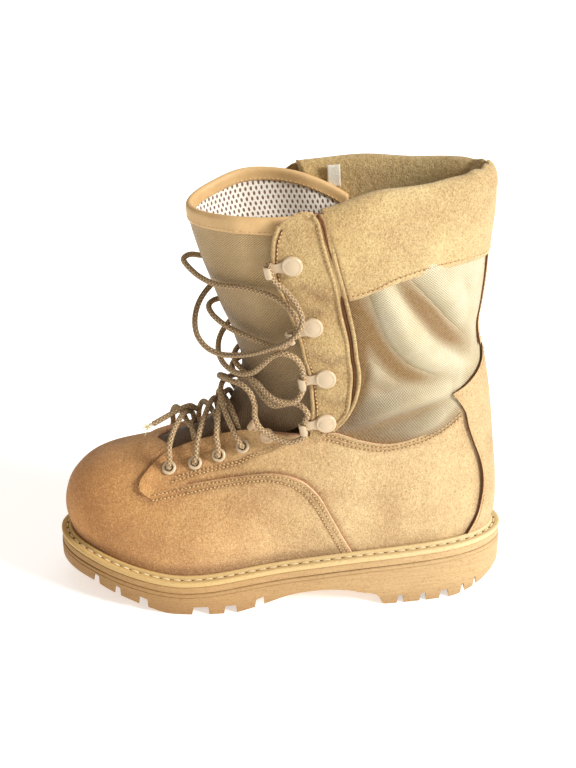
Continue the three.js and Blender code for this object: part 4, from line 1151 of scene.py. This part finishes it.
def make_shaft():
    edge = [(101, 6.9), (94.5, 6.85), (80, 6.1), (68, 5.65), (57.5, 5.85), (48.5, 6.2), (38, 6.9),
            (22, 7.8), (0, 8.2)]
    bottom = edge + [(-a, level) for a, level in edge[-2::-1]]
    left = [(-101, 6.9), (-104, 8.4), (-106, 10), (-106, 12), (-104, 13.9)]
    top = [(-104, 13.9), (-50, 13.9), (0, 13.9), (50, 13.9), (104, 13.9)]
    loop = outline(bottom, left, top, mirror(left, -1)[::-1])
    folds = [(w, h, laid(mirror(line, hand))) for w, h, line in SHAFT_FOLDS for hand in (1, -1)]

    behind = [(a - 1, level) for a, level in UNDERLAY_REAR]
    edges = [laid(mirror(line, hand)) for line in (QUARTER_TOP, behind) for hand in (1, -1)]

    def relief(on):
        return sum(fold(on, line, width, height) for width, height, line in folds)

    def outer(angle, level, on):
        return 0.2 + relief(on) + waves(on, 0.35, 11)

    def shade(angle, level, on):
        return -relief(on) / 6 + 0.65 * grooves(on, edges, 5)

    panel("shaft_nylon", loop, outer, -WALL, "nylon", NYLON, uv=cloth_places, soften=0.3,
          shade=shade)


make_shaft()

# ---------------------------------------------------------------- overlays
FACING = np.array([  # level, front, rear
    (7.05, 103, 99.5), (7.5, 106, 96.3), (8.35, 110.5, 95.5), (9.4, 114.5, 96), (10.6, 115.3, 94.5),
    (11.35, 114.7, 93.5), (12.45, 116.5, 94.5), (13.65, 119, 95.3), (14.9, 116.8, 97.5), (15.6, 114, 98.7),
    (16.05, 107.5, 101),
])
BACKSTAY_TOP = [(44.5, 8.4), (33, 8.7), (14, 9.35), (0, 9.9)]
COLLAR_FRONT = np.array([(12.9, 91.5), (14.55, 94), (16.3, 98)])


FACING_CREASES = [
    [(108, 13.4), (104, 13.1), (99, 12.9)], [(112, 12.6), (108, 12.4), (103, 12.5)],
    [(110, 10.9), (104, 10.6), (98, 10.8)], [(108, 9.1), (103, 8.9), (98, 9.0)],
]


def facing_edge(column, first=1, last=-1, shift=0.0):
    """The facing's front (column 1) or rear (column 2) edge, by default without its two ends."""
    return [(row[column] + shift, row[0]) for row in FACING[first:last]]


def facing(hand):
    """A hook facing over its underlay, with the pipings and ridges along their edges, and dark cords in the
    grooves beside them as painted shade.
    """
    side = "lateral" if hand > 0 else "medial"
    top = [(101, 16.05), (104, 16.12), (107.5, 16.05)]
    loop = outline(facing_edge(2, 0, None), top, facing_edge(1, 0, None)[::-1],
                   [(103, 7.05), (101, 7.0), (99.5, 7.05)], hand=hand)
    creases = [laid(mirror(line, hand)) for line in FACING_CREASES]

    def outer(angle, level, on):
        lift = 3.1 + waves(on, 0.5, 21)
        for crease in creases:
            lift = lift + fold(on, crease, 4.5, -1.0)
        return lift

    groove_line = beside(mirror(facing_edge(1), hand), hand * 3.4)
    edge_lines = [laid(groove_line), laid(beside(mirror(facing_edge(2), hand), -hand * 1.0))]
    piece = panel(f"facing_leather_{side}", loop, outer, 1.9, "suede", SUEDE_FACING, EDGE_PALE,
                  shade=lambda a, l, on: (0.8 * grooves(on, creases, 3) * 0.6
                                          + 0.6 * grooves(on, edge_lines, 1.6)))
    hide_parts(f"facing_{side}")
    under = outline(UNDERLAY_REAR, [(97, 15.95), (102, 16.0), (106.5, 16.0)],
                    facing_edge(1, 0, None, -1.0)[::-1], [(102, 7.05), (99, 6.95)], hand=hand)

    def under_out(angle, level, on):
        collar = ease(12.6, 13.2, level) * (1 - ease(94, 99, np.abs(angle)))
        return 1.8 + 1.5 * collar

    panel(f"underlay_{side}", under, under_out, 0.3, "suede", SUEDE_FACING, EDGE_DARK_AND_GROOVE_SHADE)
    rear = [(99.6, 7.3), *facing_edge(2, 2), (100.4, 15.95)]
    beside_rear = lambda line, by: mirror([(a + by, level) for a, level in line], hand)
    for name, material, radius, sides, lines in (
            ("facing_piping", SUEDE_FACING, 1.55, 12, [laid(mirror(facing_edge(1, shift=-0.3), hand), 2.3)]),
            ("underlay_ridge", SUEDE_FACING, 1.25, 12,
             [laid(beside_rear(UNDERLAY_REAR[1:-1], 0.8), 3.0), laid(beside_rear(rear, 0.5), 3.0)]),
            # Dark cords in the grooves: painted shade.
            ("underlay_groove_shade", EDGE_DARK_AND_GROOVE_SHADE, 0.95, 10, [laid(beside_rear(rear, -1.3), 2.2)]),
            ("facing_groove_shade", EDGE_DARK_AND_GROOVE_SHADE, 0.42, 8, [laid(groove_line, 2.9)])):
        tubes = [tube_parts(smooth_line(line, 1.2), radius, sides) for line in lines]
        joined(f"{name}_{side}", tubes, "suede", material)


def make_backstay():
    front = [(f, level) for level, f in BACKSTAY]
    top = BACKSTAY_TOP + [(-a, level) for a, level in BACKSTAY_TOP[-2::-1]]
    base = [(-29, 0.1), (0, 0.1), (29, 0.1)]
    edge = [(29, 0.1), *front[1:], (44.5, 8.4)]
    loop = outline(edge, top, mirror(edge[::-1], -1), base)
    rear = laid([(0, 9.9), (0, 5), (0, 0.3)])

    def outer(angle, level, on):
        return 2.3 + waves(on, 0.3, 31) + fold(on, rear, 3.0, 0.3)

    def inner(angle, level, on):
        return 0.4 + 0.9 * ease(7, 8.6, level)

    piece = panel("backstay_leather", loop, outer, inner, "suede", SUEDE, EDGE_DARK_AND_GROOVE_SHADE)
    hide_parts("backstay")
    corners = [(9, 10.0), (9, 13.7), (-9, 13.7), (-9, 10.0), (9, 10.0)]
    strip = outline(*zip(corners, corners[1:]))
    piece = panel("backstrip_leather", strip, 1.9, 0.3, "suede", SUEDE, EDGE_DARK_AND_GROOVE_SHADE)
    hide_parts("backstrip")


facing(1)
facing(-1)
make_backstay()

# ---------------------------------------------------------------- collar
COLLAR = np.array([  # level, proud: from the hem over the roll to the inner hem, and back along the wall
    (13.02, 0.5), (13.0, 1.1), (13.1, 2.2), (13.6, 2.7), (14.5, 3.1), (15.4, 2.7), (15.95, 1.2),
    (16.27, -1.6), (16.36, -4.6), (16.27, -7.8), (15.85, -11), (15, -12.2), (14.1, -11.2), (13.4, -8),
    (13.02, -4.4), (12.98, -3.3), (13.4, -3.1), (14.9, -3.1), (15.3, -2.4), (15.45, -0.5), (15.3, 0.3),
    (14.4, 0.5), (13.3, 0.4),
])
COLLAR_LINING = -3.1
COLLAR_HEM = np.array([(0, 0.48), (46.5, 0.53), (70.5, 0.28), (91, -0.22), (110, -0.3)])   # angle, level
COLLAR_PLEATS = [  # angle, width, height
    (3, 4, -3.0), (-13, 4, -2.6), (17, 4, -2.2), (30, 6, -1.4), (-27, 6, -1.4)]


def hem_shift(angle):
    return read(COLLAR_HEM, np.abs(angle))


def make_collar():
    sections = smooth_line(COLLAR * (RING_MM, 1.0), 1.6) / (RING_MM, 1.0)
    steps = 230
    share = np.linspace(-1, 1, steps)
    rows = []
    for level, proud in sections:
        end = read(COLLAR_FRONT, level)
        angle = share * (end + 8 * ease(0.6, 1, -share) * ease(13.6, 15.4, level))
        hem = hem_shift(angle) * (1 - ease(13, 15.2, level))
        level = level - 0.34 * ease(0.75, 1, share) * ease(14, 16, level) + hem
        hug = 0.4 + 0.6 * ease(6, 45, np.abs(angle))
        full = COLLAR_LINING + (proud - COLLAR_LINING) * hug if proud < COLLAR_LINING else proud
        lift = np.broadcast_to(full, steps).astype(float).copy()
        rim = 1 - ease(0, 2.2, (1 - np.abs(share)) * end * 1.6)
        lift += (COLLAR_LINING * 0.5 - lift) * rim * 0.35
        rows.append(wrap(angle, level, lift))
    rows = np.array(rows)
    smooth = rows.reshape(-1, 3)
    levels = np.repeat(sections[:, 0], steps)
    prouds = np.repeat(sections[:, 1], steps)
    angles = np.tile(share * 95, len(sections))
    puff = np.where((prouds < -3.5) | (levels > 15.6), 1.0, 0.25)
    out = waves(smooth, 0.9, 41) * puff
    for at, width, deep in COLLAR_PLEATS:
        pleat = np.exp(-(((angles - at - (levels - 15.5) * 5) / width) ** 2))
        out += deep * pleat * ease(-1.0, 5.0, -prouds)
    normal = unit(np.cross(np.gradient(rows, axis=1), np.gradient(rows, axis=0))).reshape(-1, 3)
    centre = wrap(angles, np.full(len(angles), 14.7), np.full(len(angles), -5.0))
    normal[(normal * (smooth - centre)).sum(1) < 0] *= -1
    rows = (smooth + normal * out[:, None]).reshape(rows.shape)
    uv = cloth_places(angles, levels)
    piece = loft("collar_padded", rows.transpose(1, 0, 2), "collar", SUEDE_COLLAR,
                 uv=uv.reshape(len(sections), steps, 2).transpose(1, 0, 2).reshape(-1, 2))
    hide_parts("collar")


make_collar()

# ---------------------------------------------------------------- tongue
TONGUE_TOP = np.array([(0, 16.15), (30, 16.2), (50, 16.25), (65, 16.1), (75, 15.9), (85, 15.5), (96, 14.9)])
TONGUE_WIDTH = np.array([(4.6, 45), (6, 54), (7, 62), (8, 70), (10, 80), (13, 88), (16, 95)])
TONGUE_PROUD = np.array([(4.6, 18), (6, 20), (7, 24), (8, 36), (10, 44), (16, 46)])
TONGUE_FROM, TONGUE_TO = 4.6, 16                        # levels
TONGUE_UNDER, TONGUE_INSIDE = -(WALL + 0.9), -14.2      # how proud it is under the quarters and in the collar
TONGUE_CREASES = [
    (6, -1.8, [(-30, 9.2), (-15, 8.3), (0, 7.9), (15, 8.3), (30, 9.2)]),
    (7, 1.2, [(-30, 10.2), (-15, 9.5), (0, 9.2), (15, 9.5), (30, 10.2)]),
    (8, -1.0, [(-40, 12.6), (-20, 11.6), (0, 11.2), (20, 11.6), (40, 12.6)]),
    (7, -0.9, [(40, 14.6), (36, 13.0), (38, 11.0), (44, 9.5)]),
    (7, -0.9, [(-40, 14.6), (-36, 13.0), (-38, 11.0), (-44, 9.5)]),
]


def tongue_proud(away, level):
    front = read(TONGUE_PROUD, level)
    risen = ease(5.4, 6.3, level) * (1 - ease(0, 15, away - front))
    collar_edge = 180 - read(COLLAR_FRONT, level)
    wing = ease(-28, -3, away - collar_edge) * ease(11.2, 12.8, level)
    body = TONGUE_UNDER + (-0.6 * (1 - ease(7, 9, level)) - TONGUE_UNDER) * risen
    return body + (TONGUE_INSIDE - body) * wing


def tongue_top(turned):
    """The tongue's top level at an angle from its middle line, lower at the front and the outer side."""
    dip = curve([-95, -60, -30, 0, 30, 60, 95], [0.25, 0.5, 0.45, 0.38, 0.2, 0, 0], turned)
    return read(TONGUE_TOP, np.abs(turned)) - dip


def tongue_relief(on):
    total = waves(on, 0.5, 51)
    for width, height, line in TONGUE_CREASES:
        total += fold(on, laid([(180 + a, level) for a, level in line]), width, height)
    return total


def make_tongue():
    columns, levels = 150, 110
    share = np.linspace(-1, 1, columns)
    outer, inner, uv = [], [], []
    for v in np.linspace(0, 1, levels):
        half = read(TONGUE_WIDTH, TONGUE_FROM + (TONGUE_TO - TONGUE_FROM) * v)
        angle = 180 + share * half
        away = np.abs(share) * half
        level = TONGUE_FROM + (tongue_top(angle - 180) - TONGUE_FROM) * v
        proud = tongue_proud(away, level) + tongue_relief(skin(angle, level)) * ease(6.2, 7.5, level)
        outer.append(wrap(angle, level, proud))
        inner.append(wrap(angle, level, proud - WALL))
        uv.append(cloth_places(angle - 180, level))
    outer, inner, uv = (np.array(a).reshape(columns * levels, -1) for a in (outer, inner, uv))
    front, back, rim = sheet_faces(levels, columns)
    index = [0] * len(front) + [1] * (len(back) + len(rim))
    mesh = mesh_of("tongue_body", np.concatenate([outer, inner]), front + back + rim,
                   np.concatenate([uv, uv]), index)
    piece = link("tongue_body", face_out(mesh), "nylon", NYLON_TONGUE_SHADED, MESH_LINING)
    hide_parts("tongue")

    # Binding: a band folded over the tongue's top edge.
    half = TONGUE_WIDTH[-1, 1]
    angle = np.linspace(-half, half, 170)
    away = np.abs(angle)
    top = tongue_top(angle)
    section = [(-0.56, 0.35), (-0.56, 0.9), (-0.5, 1.15), (-0.3, 1.2), (-0.08, 1.2), (0.04, 0.6),
               (0.1, -1.2), (0.04, -3.0), (-0.08, -3.6), (-0.25, -3.6), (-0.4, -3.55), (-0.45, -3.3),
               (-0.45, -2.75)]
    core = [(-0.4, -2.6), (-0.1, -2.4), (-0.02, -1.2), (-0.1, 0.1), (-0.45, 0.2)]
    ring = smooth_line(np.array(section) * (RING_MM, 1), 0.8) / (RING_MM, 1)
    ring = np.concatenate([ring, core])
    rows = []
    for up, proud in ring:
        level = top + up
        below = np.minimum(level, top)
        base = tongue_proud(away, below) + tongue_relief(skin(180 + angle, below))
        rows.append(wrap(180 + angle, level, base + proud))
    piece = loft("tongue_binding", np.array(rows).transpose(1, 0, 2), "binding", BINDING)
    seams = []
    for up, proud, way in ((-0.45, 1.1, 1), (-0.36, -3.55, -1)):
        base = tongue_proud(away, top + up) + tongue_relief(skin(180 + angle, top + up))
        line = wrap(180 + angle, top + up, base + proud)
        seams += stitches(line, way * outward(180 + angle, top + up), 3.0, 0.7, 0.75, 0.5)
    joined("binding_stitches", seams, "thread", THREAD)


make_tongue()

# ---------------------------------------------------------------- thread
COLLAR_SEAM = [(91, 12.98), (80, 13.2), (70.5, 13.5), (58, 13.68), (46.5, 13.74), (20, 13.7), (0, 13.7)]


def make_seams():
    rows, dots = [], []

    def sew(line, proud, pitch):
        rows.extend(sewn(line, proud, pitch))
        # Dark beads between the stitches: painted shade along the stitch line.
        dots.extend(sewn(line, proud, pitch, share=0.36, width=1.0, height=0.3, rings=3, sides=6, shift=0.5))

    for hand in (1, -1):
        lay = lambda line: mirror(line, hand)
        for by in VAMP_ROWS:
            sew(beside(lay(VAMP_SEAM), -hand * by), 1.05, 2.7)
        for by in QUARTER_ROWS:
            sew(beside(lay(QUARTER_TOP[:7]), hand * by), 0.75, 2.8)
        for by in SECOND_ROWS:
            sew(beside(lay(SECOND_ROW), hand * by), 0.05, 2.8)
        sew(beside(lay(facing_edge(1)), hand * FACING_ROW), 3.05, 3.0)
        sew(beside(lay(facing_edge(2)), -hand * FACING_REAR_ROW), 3.05, 3.0)
        edge = [(f, level) for level, f in BACKSTAY]
        sew(beside(lay(edge), hand * BACKSTAY_ROW), 2.2, 3.0)
        sew(beside(lay(BACKSTAY_TOP), hand * BACKSTAY_ROW), 2.25, 3.0)
        sew(lay(COLLAR_SEAM), 2.35, 3.2)
        sew(lay([(6.5, 10.2), (6.5, 13.0)]), 1.8, 3.0)
    joined("seam_stitches", rows, "thread", THREAD)
    joined("seam_stitch_hole_shade", dots, "thread", STITCH_HOLE_SHADE)


make_seams()

# ---------------------------------------------------------------- eyelets and hooks
HOOKS = [  # angle, level, drop, cap radius
    (110.5, 14.15, 13, 7), (107.5, 11.95, 25, 7), (107.5, 10, 9, 7), (102.5, 8, 11, 7),
    (121, 7.1, -35, 5.2)]
HOOK_REACH, HOOK_CURL, HOOK_THICK, HOOK_OPEN, HOOK_LIFT = 14, 3.3, 1.2, 200, 0.5
ROUND_SIDES, FACING_OVER = 40, 1.7     # sides of round metal; how much prouder a hook on a facing stands


def turned(profile, sides):
    """A closed ring-shaped profile of (radius, height) turned round the Z axis."""
    turn = np.linspace(0, 2 * np.pi, sides, endpoint=False)
    profile = np.asarray(profile, float)
    rows = [np.stack([r * np.cos(turn), r * np.sin(turn), np.full(sides, h)], 1) for r, h in profile]
    return np.array(rows)


def basis(forward, out):
    out = unit(out)
    forward = unit(forward - out * (forward @ out))
    return np.stack([forward, np.cross(out, forward), out])


def make_eyelets():
    section = [(2.62, -2.4), (2.62, 1.2), (2.8, 1.7), (3.3, 2.05), (4.0, 2.0), (4.6, 1.6), (4.9, 1.15),
               (4.85, 0.95), (3.2, 0.9), (3.0, 0.7), (3.0, -2.4)]
    for hand, side in ((1, "lateral"), (-1, "medial")):
        for i, (angle, level) in enumerate(EYELETS):
            ring = turned(section, ROUND_SIDES)
            axes = basis(np.array((-1.0, 0, 0)), outward(hand * angle, level))
            place = wrap(hand * angle, level, LAID)
            piece = loft(f"eyelet_ring_{side}_{i + 1}", ring @ axes + place, "metal", METAL, closed=True)
            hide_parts(f"eyelet_{side}_{i + 1}")


def unmapped(rows):
    """A closed tube's points and faces, for a material that needs no texture places."""
    return rows.reshape(-1, 3), tube_faces(*rows.shape[:2]), np.zeros((rows.shape[0] * rows.shape[1], 2))


def hook_parts(cap):
    """Cap, arm and curl of a lace hook in its own frame: X towards the lace, Z out of the leather."""
    scale = cap / 7
    dome = [(0.01, 0.3), (cap - 0.5, 0.3), (cap - 0.1, 0.7), (cap, 1.3), (cap - 0.2, 2.0), (cap - 0.7, 2.6),
            (cap - 1.3, 2.75), (cap - 1.8, 2.6), (cap - 2.4, 2.7), (cap - 3.8, 3.1), (0.01, 3.3)]
    parts = [unmapped(turned(dome, ROUND_SIDES))]
    centre = np.array((HOOK_REACH * scale, HOOK_LIFT + HOOK_THICK / 2 + HOOK_CURL))
    path = [(x, HOOK_LIFT + HOOK_THICK / 2) for x in np.linspace(-2, HOOK_REACH * scale - 0.5, 14)]
    for turn in np.radians(np.linspace(-90, -90 + HOOK_OPEN, 26)):
        path.append(tuple(centre + HOOK_CURL * np.array((math.cos(turn), math.sin(turn)))))
    path = np.array(path)
    along = run(path)
    tangent = unit(np.gradient(path, axis=0))
    wide = np.interp(along, [0, 6 * scale, 12 * scale, 17 * scale, along[-1] - 2, along[-1]],
                     np.array([9.5, 9.0, 6.0, 8.0, 8.4, 6.4]) * scale)
    flat = [(-1, 0.5), (-0.93, 0.86), (-0.78, 1), (0.78, 1), (0.93, 0.86), (1, 0.5), (1, -0.5),
            (0.93, -0.86), (0.78, -1), (-0.78, -1), (-0.93, -0.86), (-1, -0.5)]
    arm = []
    for p, t, w in zip(path, tangent, wide):
        across_arm, out = np.array((0, 1.0, 0)), np.array((-t[1], 0, t[0]))
        at = np.array((p[0], 0, p[1]))
        arm.append([at + across_arm * a * w / 2 + out * b * HOOK_THICK / 2 for a, b in flat])
    return parts + [unmapped(np.array(arm))]


def make_hooks():
    for hand, side in ((1, "lateral"), (-1, "medial")):
        for i, (angle, level, drop, cap) in enumerate(HOOKS):
            on_facing = i < len(HOOKS) - 1
            out = outward(hand * angle, level)
            ahead = np.array((-math.cos(math.radians(drop)), 0, -math.sin(math.radians(drop))))
            proud = LAID + (FACING_OVER if on_facing else 0) + GAP
            axes, place = basis(ahead, out), wrap(hand * angle, level, proud)
            parts = [(p @ axes + place, f, t) for p, f, t in hook_parts(cap)]
            # The lowest hook takes the darker copy of the metal as painted shade.
            piece = joined(f"hook_metal_{side}_{i + 1}", parts, "metal", METAL if on_facing else METAL_SHADED)
            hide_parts(f"hook_{side}_{i + 1}")


make_eyelets()
make_hooks()

# ---------------------------------------------------------------- tab inside the far collar
TAB_THICK = 0.7


def make_tab():
    across_tab, up_tab = 9, 11
    rows = []
    for v in np.linspace(0, 1, up_tab):
        angle = np.linspace(-93.5, -88, across_tab)
        level = np.full(across_tab, 15.3 + 0.85 * v)
        rows.append(wrap(angle, level, np.full(across_tab, -13.4 - 0.8 * math.sin(math.pi * v))))
    front = np.array(rows).reshape(-1, 3)
    back = front + (0, TAB_THICK, 0)
    faces = sum(sheet_faces(up_tab, across_tab), [])
    link("collar_tab", face_out(mesh_of("collar_tab", np.concatenate([front, back]), faces)), "thread", TAB)


make_tab()

# ---------------------------------------------------------------- floor and light
def make_stage():
    look = Look("floor")
    grain = look.noise(3, 2, 0.5)
    look.finish(look.blend(grain, rgb(250, 249, 247), rgb(253, 252, 251)), 0.9,
                Emission_Color=(1, 0.995, 0.985, 1), Emission_Strength=0.52)
    size, drop = 6, 0.0002
    corners = [(-size, -size, -drop), (size, -size, -drop), (size, size, -drop), (-size, size, -drop)]
    mesh = bpy.data.meshes.new("floor")
    mesh.from_pydata(corners, [], [(0, 1, 2, 3)])
    floor = bpy.data.objects.new("floor", mesh)
    mesh.materials.append(look.material)
    bpy.context.scene.collection.objects.link(floor)
    world = bpy.data.worlds.new("studio")
    world.use_nodes = True
    background = world.node_tree.nodes["Background"].inputs
    background["Color"].default_value = (1, 0.95, 0.86, 1)
    background["Strength"].default_value = 0.42
    bpy.context.scene.world = world
    bpy.context.scene.view_settings.view_transform = "Standard"


def soft_sun(name, place, spread, power, color):
    """A sun as wide as spread degrees, shining from a place towards the middle of the boot."""
    data = bpy.data.lights.new(name, "SUN")
    data.angle, data.energy, data.color = math.radians(spread), power, color
    light = bpy.data.objects.new(name, data)
    light.location = place
    light.rotation_mode = "QUATERNION"
    light.rotation_quaternion = (Vector((0, 0, 0.15)) - Vector(place)).to_track_quat("-Z", "Y")
    bpy.context.scene.collection.objects.link(light)


make_stage()
soft_sun("key", (1.5, -0.85, 0.98), 16, 3.9, (1, 0.99, 0.97))
soft_sun("top", (0.1, 0.5, 1.8), 60, 0.3, (1, 1, 1))
